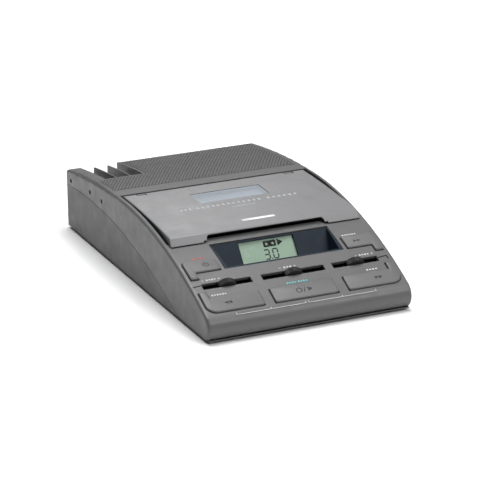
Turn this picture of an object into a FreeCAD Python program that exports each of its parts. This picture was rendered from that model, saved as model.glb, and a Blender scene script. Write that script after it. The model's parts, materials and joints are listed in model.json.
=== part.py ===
import FreeCAD, Part
import math
import os
import Sketcher

# Desktop dictation machine: an arched casing that holds a cassette under a hinged lid,
# with a control panel at the front and a connector bay at the back left.
# Millimetres. X runs across the machine, +Y is its back, +Z is up, and the origin is
# the middle of the footprint on the desk.

doc = FreeCAD.newDocument("dictation_machine")
sheet = doc.addObject("Spreadsheet::Sheet", "sizes")


class Size:
    """A length of the model: its value now, and the formula that the document keeps."""

    def __init__(self, value, formula):
        self.value = value
        self.formula = formula

    def __add__(self, other):
        other = size(other)
        return Size(self.value + other.value, f"({self.formula} + {other.formula})")

    def __sub__(self, other):
        other = size(other)
        return Size(self.value - other.value, f"({self.formula} - {other.formula})")

    def __mul__(self, other):
        other = size(other)
        return Size(self.value * other.value, f"({self.formula} * {other.formula})")

    def __truediv__(self, other):
        other = size(other)
        return Size(self.value / other.value, f"({self.formula} / {other.formula})")

    def __radd__(self, other):
        return size(other) + self

    def __rsub__(self, other):
        return size(other) - self

    def __rmul__(self, other):
        return size(other) * self

    def __neg__(self):
        return size(0) - self


def size(value):
    """A plain number as a Size."""
    return value if isinstance(value, Size) else Size(float(value), repr(float(value)))


def root(value):
    return Size(math.sqrt(value.value), f"sqrt({value.formula})")


def arcsine(value):
    """The angle in degrees whose sine is the value."""
    return Size(math.degrees(math.asin(value.value)), f"asin({value.formula})")


def sine(angle):
    return Size(math.sin(math.radians(angle.value)), f"sin({angle.formula})")


def cosine(angle):
    return Size(math.cos(math.radians(angle.value)), f"cos({angle.formula})")


def add_sizes(rows):
    """Writes each size to the sheet under its name, and returns the sizes by name."""
    named = {}
    for row, (name, value) in enumerate(rows.items(), start=1):
        sheet.set(f"A{row}", name)
        sheet.set(f"B{row}", str(value))
        sheet.setAlias(f"B{row}", name)
        named[name] = Size(float(value), f"sizes.{name}")
    doc.recompute()
    return named


D = add_sizes({
    # casing
    "casing_width": 140,
    "casing_depth": 244,
    "casing_wall": 2.2,
    "crown_height": 50.4,
    "crown_from_back": 102,
    "back_arch_radius": 620,
    "front_edge_height": 14.665,
    "nose_radius": 9,
    "edge_rounding": 2,
    "foot_height": 1.5,
    "foot_radius": 6,
    "foot_inset": 14,
    "base_plate": 2.2,
    "base_inset": 1.6,
    "base_lip": 0.7,
    "parting_radius": 388,
    "parting_peak_height": 33.9,
    "parting_peak_from_back": 42,
    "seam_gap": 0.25,
    "side_hole_radius": 1.6,
    "post_radius": 3.2,
    "screw_radius": 1.4,
    "screw_head_radius": 2.7,
    "screw_head_height": 1.3,
    # lid
    "lid_gap": 0.3,
    "lid_back_from_back": 92.6,
    "lid_length": 80.7,
    "lid_side_gap": 0.8,
    "opening_half_width": 67,
    "lid_radius": 850,
    "lid_wall": 2,
    "lid_draft": 1.2,
    "lid_edge_rounding": 0.8,
    "lid_top_height": 50.1,
    "fascia_run": 3.9,
    "fascia_gap": 0.7,
    "hinge_radius": 1.8,
    "hinge_rod_radius": 0.8,
    "knuckle_centre": 53,
    "knuckle_width": 6,
    "running_clearance": 0.05,
    "finger_scoop_width": 81,
    "window_width": 49.2,
    "window_depth": 18,
    "window_flange": 1.5,
    "window_from_hinge": 23.6,
    # display
    "display_half_width": 41.2,
    "display_top_from_lid": 3,
    "display_tilt": 52,
    "display_slant": 20.3,
    "display_rim_reach": 23.9,
    "display_wall": 1.5,
    "screen_width": 38.3,
    "screen_height": 16.8,
    "screen_offset": -2.85,
    "glass_thickness": 2,
    # control panel
    "key_clearance": 0.35,
    "key_proud": 1.2,
    "key_travel": 1,
    "key_rounding": 0.6,
    "flange_thickness": 0.9,
    "upper_keys_from_front": 45.25,
    "slider_row_from_front": 27.65,
    "lower_keys_from_front": 11.75,
    "knob_width": 11.6,
    "slot_depth": 5.1,
    "speed_slot_centre": -45.2,
    "speed_slot_length": 33.3,
    "volume_slot_length": 43,
    "tone_slot_centre": 43.2,
    "tone_slot_length": 32,
    "board_thickness": 1.6,
    "board_depth_below_panel": 13.4,
    # connector bay
    "bay_left": 60.5,
    "bay_right": 33.1,
    "bay_length": 49,
    "bay_floor_height": 24,
    "bay_wall": 2,
    "fin_thickness": 0.9,
    "fin_setback": 6,
    "first_fin": 51.95,
    "second_fin": 42,
    "power_jack_radius": 2.1,
    "headset_jack_radius": 1.8,
    "pedal_socket_radius": 3,
    # deck
    "deck_height": 31,
    "deck_thickness": 1.2,
    "reel_spacing": 26,
    "cassette_width": 56,
    "cassette_depth": 34,
    "cassette_height": 8,
    "cassette_base_height": 35.4,
    "turntable_radius": 9.5,
    "idler_radius": 6,
    "idler_gap": 1,
    "drive_hub_radius": 5.6,
    "drive_pulley_radius": 11,
    "motor_radius": 14,
    "motor_pulley_radius": 2.6,
    "belt_thickness": 1.1,
    "carriage_travel": 3.5,
    "speaker_radius": 28.5,
})


# ---------------------------------------------------------------- drawing helpers
AXES = {"X": (1, 0, 0), "Y": (0, 1, 0), "Z": (0, 0, 1)}
FLIPS = {"X": ((0, 1, 0), 90), "Y": ((1, 0, 0), -90), "Z": ((0, 0, 1), 0)}
counts = {}


def fresh(name):
    """A document name that isn't used yet."""
    counts[name] = counts.get(name, 0) + 1
    return f"{name}_{counts[name]}"


def bind(thing, **formulas):
    """Ties properties to the sheet: a__b stands for the path a.b."""
    for path, value in formulas.items():
        thing.setExpression(path.replace("__", "."), size(value).formula)
    return thing


def place(thing, x=0, y=0, z=0, axis="X", angle=None):
    """Puts a thing at a place worked out from the sheet, turned about one axis."""
    if angle is not None:
        turn = FreeCAD.Rotation(FreeCAD.Vector(*AXES[axis]), max(size(angle).value, 0.01))
        thing.Placement = FreeCAD.Placement(FreeCAD.Vector(), turn)
        bind(thing, Placement__Rotation__Angle=angle)
    return bind(thing, Placement__Base__x=x, Placement__Base__y=y, Placement__Base__z=z)


def box(name, x, y, z):
    """A block between two values on each axis."""
    block = doc.addObject("Part::Box", fresh(name))
    bind(block, Length=size(x[1]) - x[0], Width=size(y[1]) - y[0], Height=size(z[1]) - z[0])
    return place(block, x[0], y[0], z[0])


def rod(name, radius, start, length, axis="Z"):
    """A cylinder from a start point along an axis."""
    cylinder = doc.addObject("Part::Cylinder", fresh(name))
    flip, angle = FLIPS[axis]
    cylinder.Placement = FreeCAD.Placement(
        FreeCAD.Vector(), FreeCAD.Rotation(FreeCAD.Vector(*flip), angle))
    bind(cylinder, Radius=radius, Height=length)
    return place(cylinder, *start)


def cone(name, radius, top_radius, start, length):
    """An upright cone from its lower centre."""
    shape = doc.addObject("Part::Cone", fresh(name))
    bind(shape, Radius1=radius, Radius2=top_radius, Height=length)
    return place(shape, *start)


def plane_of(body, role):
    return [item for item in body.Origin.OriginFeatures if item.Role == role][0]


def draw_outline(sketch, corners):
    """Draws a closed outline. A corner is (u, v), or (u, v, radius) when an arc of that
    radius goes on to the next corner: counter-clockwise if positive, else clockwise."""
    corners = [tuple(size(part) for part in corner) for corner in corners]
    for index, corner in enumerate(corners):
        after = corners[(index + 1) % len(corners)]
        start = FreeCAD.Vector(corner[0].value, corner[1].value, 0)
        end = FreeCAD.Vector(after[0].value, after[1].value, 0)
        if len(corner) == 2:
            sketch.addGeometry(Part.LineSegment(start, end))
            continue
        reach = abs(corner[2].value)
        turn = 1 if corner[2].value > 0 else -1
        chord = end - start
        rise = math.sqrt(max(reach ** 2 - chord.Length ** 2 / 4, 0))
        left = FreeCAD.Vector(-chord.y, chord.x, 0) / chord.Length
        centre = (start + end) / 2 + left * rise * turn
        middle = centre + ((start + end) / 2 - centre).normalize() * reach
        sketch.addGeometry(Part.Arc(start, middle, end))
    tie_outline(sketch, corners)


def tie_outline(sketch, corners):
    """Joins the pieces of an outline and ties every corner and radius to the sheet."""
    ends = []
    for index, corner in enumerate(corners):
        forward = len(corner) == 2 or corner[2].value > 0
        ends.append((1, 2) if forward else (2, 1))
    for index, corner in enumerate(corners):
        after = (index + 1) % len(corners)
        sketch.addConstraint(Sketcher.Constraint(
            "Coincident", index, ends[index][1], after, ends[after][0]))
        for kind, value in (("DistanceX", corner[0]), ("DistanceY", corner[1])):
            number = sketch.addConstraint(Sketcher.Constraint(
                kind, -1, 1, index, ends[index][0], value.value))
            sketch.setExpression(f"Constraints[{number}]", value.formula)
        if len(corner) == 3:
            number = sketch.addConstraint(
                Sketcher.Constraint("Radius", index, abs(corner[2].value)))
            radius = corner[2] if corner[2].value > 0 else -corner[2]
            sketch.setExpression(f"Constraints[{number}]", radius.formula)


def pad_outline(body, name, plane, corners, low, high):
    """Pads an outline of a body between two heights along the normal of its plane."""
    sketch = body.newObject("Sketcher::SketchObject", fresh(name + "_outline"))
    sketch.AttachmentSupport = [(plane_of(body, plane + "_Plane"), "")]
    sketch.MapMode = "FlatFace"
    bind(sketch, AttachmentOffset__Base__z=low)
    draw_outline(sketch, corners)
    pad = body.newObject("PartDesign::Pad", fresh(name + "_pad"))
    pad.Profile = sketch
    bind(pad, Length=size(high) - low)
    sketch.Visibility = False
    return pad


def prism(name, plane, corners, low, high):
    """A body with one pad."""
    body = doc.addObject("PartDesign::Body", fresh(name))
    pad_outline(body, name, plane, corners, low, high)
    return body


def round_edges(body, radius, picked):
    """Rounds the edges of a body that the test picks."""
    doc.recompute()
    solid = body.Tip
    names = [f"Edge{index}" for index, edge in enumerate(solid.Shape.Edges, start=1)
             if picked(edge)]
    fillet = body.newObject("PartDesign::Fillet", fresh("rounding"))
    fillet.Base = (solid, names)
    bind(fillet, Radius=radius)
    doc.recompute()
    return body


def cut(base, *tools):
    """A base less one or more tools."""
    result = doc.addObject("Part::Cut", fresh("cut"))
    result.Base = base
    result.Tool = tools[0] if len(tools) == 1 else fuse(*tools)
    return result


def fuse(*shapes):
    result = doc.addObject("Part::MultiFuse", fresh("joined"))
    result.Shapes = list(shapes)
    return result


def group(*shapes):
    """Separate solids kept together as one sub-part."""
    result = doc.addObject("Part::Compound", fresh("set"))
    result.Links = list(shapes)
    return result


def common(*shapes):
    result = doc.addObject("Part::MultiCommon", fresh("common"))
    result.Shapes = list(shapes)
    return result


nodes = []


def node(label, shape):
    """Names a finished sub-part."""
    shape.Label = label
    nodes.append(shape)
    return shape


# ---------------------------------------------------------------- shared places
half_width = D["casing_width"] / 2
back = D["casing_depth"] / 2
front = -back
wall = D["casing_wall"]
inner_half = half_width - wall
crown_y = back - D["crown_from_back"]
crown_z = D["crown_height"]
base_z = D["foot_height"]
shell_z = base_z + D["base_lip"] + 0.1
floor_z = base_z + D["base_plate"]
# the front arch runs from the crown down to the height of the front edge
front_run = crown_y - front
front_drop = crown_z - D["front_edge_height"]
front_arch_radius = (front_run * front_run + front_drop * front_drop) / (front_drop * 2)
front_centre_z = crown_z - front_arch_radius
back_centre_z = crown_z - D["back_arch_radius"]
nose_y = front + D["nose_radius"]
nose_reach = front_arch_radius - D["nose_radius"]
nose_z = front_centre_z + root(nose_reach * nose_reach - (nose_y - crown_y) * (nose_y - crown_y))
above = crown_z + 20

hinge_y = back - D["lid_back_from_back"] - D["hinge_radius"]
hinge_z = D["lid_top_height"] - D["hinge_radius"]
lid_back = hinge_y + D["hinge_radius"]
lid_front = lid_back - D["lid_length"]
lid_foot = lid_front - D["fascia_run"]
opening_back = lid_back + D["lid_gap"]
opening_front = lid_front + 1

deck_top = D["deck_height"] + D["deck_thickness"]
reel_x = D["reel_spacing"] / 2
reel_y = hinge_y - D["window_from_hinge"]
cassette_z = D["cassette_base_height"]
cassette_front = reel_y - D["cassette_depth"] / 2
wheel_low = D["deck_height"] - 5.8
wheel_high = D["deck_height"] - 2.2
touching = D["turntable_radius"] + D["idler_radius"] + D["idler_gap"]
idler_y = reel_y + root(touching * touching - reel_x * reel_x)
drive_y = idler_y + D["idler_radius"] + D["drive_hub_radius"] + 0.2
motor_x = size(36)
motor_y = drive_y - 6


def arch_z(y, depth=0):
    """Height of the front arch at a place, or of the surface a depth under it."""
    radius = front_arch_radius - depth
    return front_centre_z + root(radius * radius - (y - crown_y) * (y - crown_y))


def back_arch_z(y, depth=0):
    radius = D["back_arch_radius"] - depth
    return back_centre_z + root(radius * radius - (y - crown_y) * (y - crown_y))


def parting_z(y):
    """Height of the line where the upper and lower casings meet."""
    peak = back - D["parting_peak_from_back"]
    radius = D["parting_radius"]
    drop = root(radius * radius - (y - peak) * (y - peak))
    return D["parting_peak_height"] - radius + drop


def parting_front(height):
    """Where the parting line comes down to a height at the front."""
    radius = D["parting_radius"]
    level = radius - D["parting_peak_height"] + height
    return back - D["parting_peak_from_back"] - root(radius * radius - level * level)


def lid_z(y, depth=0):
    """Height of the lid's top, or of the surface a depth under it."""
    radius = D["lid_radius"] - depth
    centre = D["lid_top_height"] - D["lid_radius"]
    return centre + root(radius * radius - (y - hinge_y) * (y - hinge_y))


def on_panel(thing, from_front):
    """Puts a thing on the control panel: its XY plane lies on the panel's surface."""
    y = front + from_front
    slope = arcsine((crown_y - y) / front_arch_radius)
    return place(thing, 0, y, arch_z(y), "X", slope)


# ---------------------------------------------------------------- control panel outlines
def upper_key_outline(side, grow=0):
    """Key beside the display, with a hook that reaches down its outer edge."""
    inner, outer, arm = 43.9 - grow, 66.5 + grow, 60.9 - grow
    top, low, hook = 6 + grow, -5.8 - grow, -11.8 - grow
    radius = size(3.2) + grow
    corners = [(inner, low), (arm, low), (arm, hook), (outer, hook),
               (outer, top - radius, radius), (outer - radius, top), (inner, top)]
    return mirrored(corners, side)


def lower_key_outline(side, grow=0):
    """Wind or rewind key, with a hook that reaches up its outer edge."""
    inner, outer, arm = 28.8 - grow, 66.8 + grow, 61.5 - grow
    top, low, hook = 5.9 + grow, -6 - grow, 12.2 + grow
    radius = size(6.5) + grow
    corners = [(inner, low), (outer - radius, low, radius), (outer, low + radius),
               (outer, hook), (arm, hook), (arm, top), (inner, top)]
    return mirrored(corners, side)


def centre_key_outline(side=1, grow=0):
    half, top, low = size(21.7) + grow, 5.9 + grow, -6 - grow
    return [(-half, low), (half, low), (half, top), (-half, top)]


def mirrored(corners, side):
    """The same outline, or its mirror image for the left-hand side."""
    corners = [tuple(size(part) for part in corner) for corner in corners]
    if side > 0:
        return corners
    flipped = []
    count = len(corners)
    for index in range(count - 1, -1, -1):
        before = corners[(index - 1) % count]
        corner = (-corners[index][0], corners[index][1])
        flipped.append(corner + (before[2],) if len(before) == 3 else corner)
    return flipped


KEYS = {
    "power_key": (upper_key_outline, -1, "upper_keys_from_front", -55),
    "search_key": (upper_key_outline, 1, "upper_keys_from_front", 55),
    "rewind_key": (lower_key_outline, -1, "lower_keys_from_front", -48),
    "stop_play_key": (centre_key_outline, 1, "lower_keys_from_front", 0),
    "wind_key": (lower_key_outline, 1, "lower_keys_from_front", 48),
}
SLIDERS = {
    "speed_slider": (D["speed_slot_centre"], D["speed_slot_length"]),
    "volume_slider": (size(0), D["volume_slot_length"]),
    "tone_slider": (D["tone_slot_centre"], D["tone_slot_length"]),
}
SCREW_PLACES = [(-1, front + 60), (1, front + 60), (1, back - 24)]
screw_x = size(62)
odd_screw = (size(-24), back - 24)


# ---------------------------------------------------------------- casing
def casing_profile(depth):
    """Side view of the casing's top and front, a depth inside its surface: from the
    crown's back end over the arch and round the nose."""
    far = back - depth
    return [
        (far, back_arch_z(far, depth), D["back_arch_radius"] - depth),
        (crown_y, crown_z - depth, front_arch_radius - depth),
        (nose_y + (nose_y - crown_y) / nose_reach * (D["nose_radius"] - depth),
         nose_z + (nose_z - front_centre_z) / nose_reach * (D["nose_radius"] - depth),
         D["nose_radius"] - depth),
    ]


def nose_foot(height, depth):
    """Where the underside of the nose comes down to a height."""
    radius = D["nose_radius"] - depth
    return nose_y - root(radius * radius - (nose_z - height) * (nose_z - height))


def casing_block():
    """The upper casing before it is hollowed."""
    corners = casing_profile(0) + [
        (nose_foot(shell_z, 0), shell_z),
        (parting_front(shell_z), shell_z, -D["parting_radius"]),
        (back, parting_z(back)),
    ]
    block = prism("upper_housing", "YZ", corners, -half_width, half_width)
    return round_edges(block, D["edge_rounding"], is_top_edge)


def is_top_edge(edge):
    """True for the curved edges between the sides and the top, and the top back edge."""
    if edge.Curve.TypeId == "Part::GeomCircle":
        arches = (D["back_arch_radius"], front_arch_radius, D["nose_radius"])
        return any(abs(edge.Curve.Radius - arch.value) < 0.01 for arch in arches)
    middle = edge.CenterOfMass
    return abs(middle.y - back.value) < 0.01 and middle.z > back_arch_z(back).value - 0.1


def upper_hollow():
    """The space inside the upper casing, open below."""
    far = back - wall
    corners = casing_profile(wall) + [
        (nose_foot(floor_z + 0.2, wall), floor_z + 0.2),
        (nose_foot(floor_z + 0.2, wall), -5),
        (far, -5),
    ]
    return prism("upper_hollow", "YZ", corners, -inner_half, inner_half)


def key_opening(name):
    outline, side, row, _ = KEYS[name]
    opening = prism(name + "_opening", "XY", outline(side, D["key_clearance"]), -8, 8)
    return on_panel(opening, D[row])


def slot_opening(centre, length):
    half = D["slot_depth"] / 2
    slot = prism("slot", "XY", [
        (centre - length / 2, -half), (centre + length / 2, -half),
        (centre + length / 2, half), (centre - length / 2, half)], -8, 8)
    return on_panel(slot, D["slider_row_from_front"])


def side_holes():
    """Three locating holes that run through both sides near the back."""
    places = [(back - 8, 36.1), (back - 44.8, 39), (back - 66.2, 39)]
    start = -half_width - 1
    return [rod("side_hole", D["side_hole_radius"], (start, y, z), 2 * half_width + 2, "X")
            for y, z in places]


def post_places():
    places = [(side * screw_x, y) for side, y in SCREW_PLACES]
    return places + [odd_screw]


def surface_z(y):
    return arch_z(y, wall) if y.value < crown_y.value else back_arch_z(y, wall)


def knuckles():
    """Two bearings that carry the lid's rod, on arms from the back of the opening."""
    arms = []
    for side in (-1, 1):
        start = side * D["knuckle_centre"] - D["knuckle_width"] / 2
        span = (start, start + D["knuckle_width"])
        arms.append(rod("knuckle", D["hinge_radius"], (span[0], hinge_y, hinge_z),
                        D["knuckle_width"], "X"))
        arms.append(box("arm", span, (hinge_y, opening_back + 3.2),
                        (hinge_z - D["hinge_radius"], hinge_z)))
        arms.append(box("arm_root", span, (opening_back, opening_back + 3.2),
                        (hinge_z - D["hinge_radius"], back_arch_z(opening_back, wall) + 0.5)))
    return arms


def upper_housing():
    """Arched top shell with the control panel, the lid opening and the speaker grille."""
    opening = D["opening_half_width"]
    bay_front = back - D["bay_length"]
    cuts = [
        upper_hollow(),
        box("lid_opening", (-opening, opening), (opening_front, opening_back), (20, above)),
        box("display_opening", (-D["display_half_width"], D["display_half_width"]),
            (display_front(), lid_foot - D["display_top_from_lid"] + 1.4), (20, above)),
        box("bay_opening", (-D["bay_left"], -D["bay_right"] + D["bay_wall"] + 0.5),
            (bay_front - 0.2, back + 1), (D["bay_floor_height"] - 2.2, above)),
        glass_block("glass_room", 0.2),
    ]
    cuts += [key_opening(name) for name in KEYS]
    cuts += [slot_opening(*slot) for slot in SLIDERS.values()]
    cuts += side_holes()
    shell = cut(casing_block(), *cuts)
    posts = [rod("screw_post", D["post_radius"], (x, y, floor_z + 0.1),
                 surface_z(size(y)) + 0.6 - floor_z) for x, y in post_places()]
    post_wall = box("bay_side", (-D["bay_left"] - 1.5, -D["bay_left"]),
                    (bay_front - 0.2, back - wall - 0.3),
                    (D["bay_floor_height"], back_arch_z(back, wall) + 0.8))
    bores = [rod("post_bore", D["screw_radius"], (x, y, floor_z - 1), 13)
             for x, y in post_places()]
    bores.append(rod("rod_bore", D["hinge_rod_radius"] + D["running_clearance"],
                     (-half_width + 5, hinge_y, hinge_z), 2 * half_width - 10, "X"))
    return node("upper_housing", cut(fuse(shell, post_wall, *posts, *knuckles()), *bores))


def lower_housing():
    """Base pan: floor, side walls up to the arched joint, posts for deck and board."""
    seam = D["seam_gap"]
    plate_half = half_width - D["base_inset"]
    walls = prism("lower_housing", "YZ", [
        (parting_front(shell_z), shell_z, -D["parting_radius"]),
        (back, parting_z(back)), (back, shell_z)], -half_width, half_width)
    place(walls, 0, 0, -seam)
    hollow = box("pan_hollow", (-inner_half, inner_half), (front - 10, back - wall),
                 (floor_z, above))
    plate = box("pan_plate", (-plate_half, plate_half),
                (front + 1.75, back - D["base_inset"]), (base_z, shell_z - 0.12))
    raised = box("pan_floor", (-inner_half + 0.2, inner_half - 0.2),
                 (nose_foot(floor_z + 0.2, wall) + 0.3, back - wall), (shell_z - 0.12, floor_z))
    posts = [rod("deck_post", 3.2, (x, y, floor_z - 0.5), D["deck_height"] - floor_z + 0.5)
             for x, y in deck_posts()]
    posts += [rod("board_post", 3, (x, y, floor_z - 0.5), 2.8) for x, y in board_posts()]
    bay = box("bay_opening", (-D["bay_left"], -D["bay_right"] + D["bay_wall"] + 0.5),
              (back - 10, back + 1), (D["bay_floor_height"] - 2.2, above))
    bores = [rod("screw_hole", D["screw_radius"] + 0.15, (x, y, 0), floor_z + 1)
             for x, y in post_places()]
    bores += [rod("counterbore", D["screw_head_radius"] + 0.2, (x, y, base_z - 1),
                  1.2 + D["screw_head_height"] - 0.2) for x, y in post_places()]
    bores += [rod("deck_bore", 1.2, (x, y, D["deck_height"] - 10), 11) for x, y in deck_posts()]
    bores += [rod("board_bore", 1, (x, y, floor_z), 3) for x, y in board_posts()]
    pan = fuse(cut(walls, hollow, bay), plate, raised, *posts)
    return node("lower_housing", cut(pan, *bores))


def rubber_feet():
    """Four soft pads under the corners of the base."""
    inset = D["foot_inset"]
    return node("rubber_feet", group(*[
        rod("foot", D["foot_radius"], (sx * (half_width - inset), sy * (back - inset - 3), 0),
            D["foot_height"]) for sx in (-1, 1) for sy in (-1, 1)]))


def screw(name, x, y, head_z, radius, head_radius, head_height, length, up=True):
    """A screw with a pan head; it points up from its head, or down."""
    if up:
        head = rod(name + "_head", head_radius, (x, y, head_z), head_height)
        return fuse(head, rod(name, radius, (x, y, head_z + head_height - 0.1), length))
    head = rod(name + "_head", head_radius, (x, y, head_z), head_height)
    return fuse(head, rod(name, radius, (x, y, head_z - length), length + 0.1))


def case_screws():
    """Four screws from below that hold the two casings together."""
    return node("case_screws", group(*[
        screw("case_screw", x, y, base_z - 0.2, D["screw_radius"], D["screw_head_radius"],
              D["screw_head_height"], 11) for x, y in post_places()]))


def connector_bay():
    """Trough at the back left: floor, front wall, right wall and two cable fins."""
    left, right = -D["bay_left"] + 0.15, -D["bay_right"]
    front_y = back - D["bay_length"]
    floor = D["bay_floor_height"]
    end = back - 0.2
    outer = right + D["bay_wall"]
    slab = box("bay_floor", (left, outer), (front_y, end), (floor - 2, floor))
    profile = [(end, floor - 2), (end, back_arch_z(end) - 0.1, D["back_arch_radius"]),
               (front_y, back_arch_z(front_y) - 0.1), (front_y, floor - 2)]
    side = prism("bay_wall", "YZ", profile, right, outer)
    front_wall = box("bay_front", (left, outer), (front_y, front_y + 2),
                     (floor - 2, back_arch_z(front_y, wall) - 0.2))
    lip = box("bay_front_lip", (left, outer), (front_y + 0.05, front_y + 0.9),
              (floor, back_arch_z(front_y) - 0.25))
    fins = []
    fin_end = back - D["fin_setback"]
    for centre in (D["first_fin"], D["second_fin"]):
        fins.append(prism("fin", "YZ", [
            (fin_end, floor - 1), (fin_end, back_arch_z(fin_end) - 0.3, D["back_arch_radius"]),
            (front_y + 0.5, back_arch_z(front_y + 0.5) - 0.3), (front_y + 0.5, floor - 1)],
            -centre - D["fin_thickness"] / 2, -centre + D["fin_thickness"] / 2))
    holes = [box("socket_window", (x - radius - 1.35, x + radius + 1.35),
                 (front_y - 1, front_y + 3), (socket_z() - radius - 1.35, socket_z() + radius + 1.35))
             for x, radius in sockets().values()]
    return node("connector_bay", cut(fuse(slab, side, front_wall, lip, *fins), *holes))


def sockets():
    """Where each socket sits across the bay, and the radius of its bore."""
    fin = D["fin_thickness"] / 2
    edges = [-D["bay_left"], -D["first_fin"] - fin, -D["first_fin"] + fin,
             -D["second_fin"] - fin, -D["second_fin"] + fin, -D["bay_right"]]
    return {
        "power_jack": ((edges[0] + edges[1]) / 2, D["power_jack_radius"]),
        "headset_jack": ((edges[2] + edges[3]) / 2, D["headset_jack_radius"]),
        "pedal_socket": ((edges[4] + edges[5]) / 2, D["pedal_socket_radius"]),
    }


def socket_z():
    return D["bay_floor_height"] + 8


def socket(name, depth):
    """A socket: a body behind the bay's front wall and a collar through it."""
    x, radius = sockets()[name]
    wall_y = back - D["bay_length"]
    z = socket_z()
    body = box(name, (x - 4, x + 4), (wall_y - 11.2, wall_y - 0.2), (z - 5.5, z + 4.5))
    collar = rod(name + "_collar", radius + 1.25, (x, wall_y - 0.5, z), 2.9, "Y")
    bore = rod(name + "_bore", radius, (x, wall_y + 3 - depth, z), depth + 1, "Y")
    return node(name, cut(fuse(body, collar), bore))


def socket_board():
    """Small circuit board that carries the three sockets."""
    wall_y = back - D["bay_length"]
    z = socket_z()
    return node("socket_board", box("socket_board", (-D["bay_left"] - 1, -D["bay_right"] + 1),
                                    (wall_y - 12.9, wall_y - 11.3), (z - 14, z + 6)))


# ---------------------------------------------------------------- lid
def lid_block():
    """The lid before it is hollowed: its top, its sloped front and its skirts."""
    radius = D["hinge_radius"]
    gap = D["fascia_gap"]
    foot_z = arch_z(lid_foot) + gap
    half = D["opening_half_width"] - D["lid_side_gap"]
    corners = [
        (hinge_y, D["lid_top_height"], D["lid_radius"]),
        (lid_front, lid_z(lid_front)),
        (lid_foot, foot_z),
        (opening_front - 0.3, arch_z(opening_front - 0.3) + gap),
        (opening_front + 0.4, arch_z(opening_front) + 0.2),
        (opening_front + 0.4, 39.5),
        (hinge_y - 7, hinge_z - 4.6),
        (hinge_y, hinge_z - radius, radius),
        (lid_back, hinge_z, radius),
    ]
    side_view = prism("cassette_lid", "YZ", corners, -half, half)
    low, high = foot_z, D["lid_top_height"] + 0.5
    top_half = half - D["lid_draft"]
    front_view = prism("lid_draft", "XZ", [
        (-half, 30), (half, 30), (half, low), (top_half, high), (-top_half, high),
        (-half, low)], -60, 60)
    return common(side_view, front_view)


def rounded_lid():
    """Rounds the lid's top front edge."""
    block = lid_block()
    doc.recompute()
    rounding = doc.addObject("Part::Fillet", fresh("lid_rounding"))
    rounding.Base = block
    radius = D["lid_edge_rounding"].value
    picked = []
    for index, edge in enumerate(block.Shape.Edges, start=1):
        middle = edge.CenterOfMass
        at_front = abs(middle.y - lid_front.value) < 0.5 and edge.Length > 20
        if at_front and middle.z > arch_z(lid_front).value + 2:
            picked.append((index, radius, radius))
    rounding.Edges = picked
    return rounding


def window_opening(name, grow, low, high):
    """A block at the window, square to the lid's top there."""
    half_x = D["window_width"] / 2 + grow
    half_y = D["window_depth"] / 2 + grow
    block = prism(name, "XY", [(-half_x, -half_y), (half_x, -half_y),
                               (half_x, half_y), (-half_x, half_y)], low, high)
    y = hinge_y - D["window_from_hinge"]
    slope = arcsine((hinge_y - y) / D["lid_radius"])
    return place(block, 0, y, lid_z(y), "X", slope)


def cassette_lid():
    """Hinged lid with a window opening and a finger scoop in its front."""
    thick = D["lid_wall"]
    half = D["opening_half_width"] - D["lid_side_gap"] - D["lid_draft"] - thick
    scoop_half = D["finger_scoop_width"] / 2
    back_beam = hinge_y - 4
    front_wall = lid_front + thick + 0.4
    hollow_corners = [(back_beam, lid_z(back_beam, thick), D["lid_radius"] - thick),
                      (front_wall, lid_z(front_wall, thick)), (front_wall, 30), (back_beam, 30)]
    hollow = prism("lid_hollow", "YZ", hollow_corners, -half, half)
    block = box("scoop_block", (-scoop_half - 2, scoop_half + 2),
                (lid_front, lid_front + 7), (40.5, lid_z(lid_front + 7, thick) + 0.5))
    scoop_top = lid_z(lid_front) - 1.9
    scoop = prism("scoop", "YZ", [
        (lid_foot - 2, scoop_top), (lid_front + 2.6, scoop_top + 0.1),
        (lid_front + 5, scoop_top - 2.6), (lid_front + 3.8, 36), (lid_foot - 2, 36)],
        -scoop_half, scoop_half)
    under_scoop = box("scoop_trim", (-scoop_half - 3, scoop_half + 3),
                      (lid_front - 5, opening_front + 0.35), (30, arch_z(opening_front)))
    notches = [box("knuckle_notch",
                   (side * D["knuckle_centre"] - D["knuckle_width"] / 2 - 0.4,
                    side * D["knuckle_centre"] + D["knuckle_width"] / 2 + 0.4),
                   (hinge_y - D["hinge_radius"] - 0.4, lid_back + 1), (30, above))
               for side in (-1, 1)]
    bore = rod("rod_bore", D["hinge_rod_radius"], (-half_width, hinge_y, hinge_z),
               2 * half_width, "X")
    hollow_lid = cut(rounded_lid(), hollow)
    return node("cassette_lid", cut(
        fuse(hollow_lid, cut(block, under_scoop)), scoop, bore, *notches,
        window_opening("window_hole", 0.15, -6, 6)))


def lid_window():
    """Clear pane set in the lid, held by a flange under the lid's skin."""
    thick = D["lid_wall"]
    pane = window_opening("pane", 0, -thick - 0.2, -0.35)
    flange = window_opening("pane_flange", D["window_flange"], -thick - 1, -thick - 0.15)
    return node("lid_window", fuse(pane, flange))


def lid_hinge_rod():
    """Steel rod on which the lid turns."""
    reach = D["opening_half_width"] - D["lid_side_gap"] - 1.3
    return node("lid_hinge_rod", rod("hinge_rod", D["hinge_rod_radius"],
                                     (-reach, hinge_y, hinge_z), 2 * reach, "X"))


# ---------------------------------------------------------------- display
def display_place():
    """Top edge of the sloped display pane, on the surface of the panel."""
    y = lid_foot - D["display_top_from_lid"]
    return y, arch_z(y)


def display_front():
    """Front edge of the opening for the display well."""
    return display_place()[0] - D["display_rim_reach"]


def on_display(thing):
    y, z = display_place()
    return place(thing, 0, y, z, "X", D["display_tilt"])


def display_panel(name, x, v, low, high):
    corners = [(x[0], v[0]), (x[1], v[0]), (x[1], v[1]), (x[0], v[1])]
    return on_display(prism(name, "XY", corners, low, high))


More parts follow.
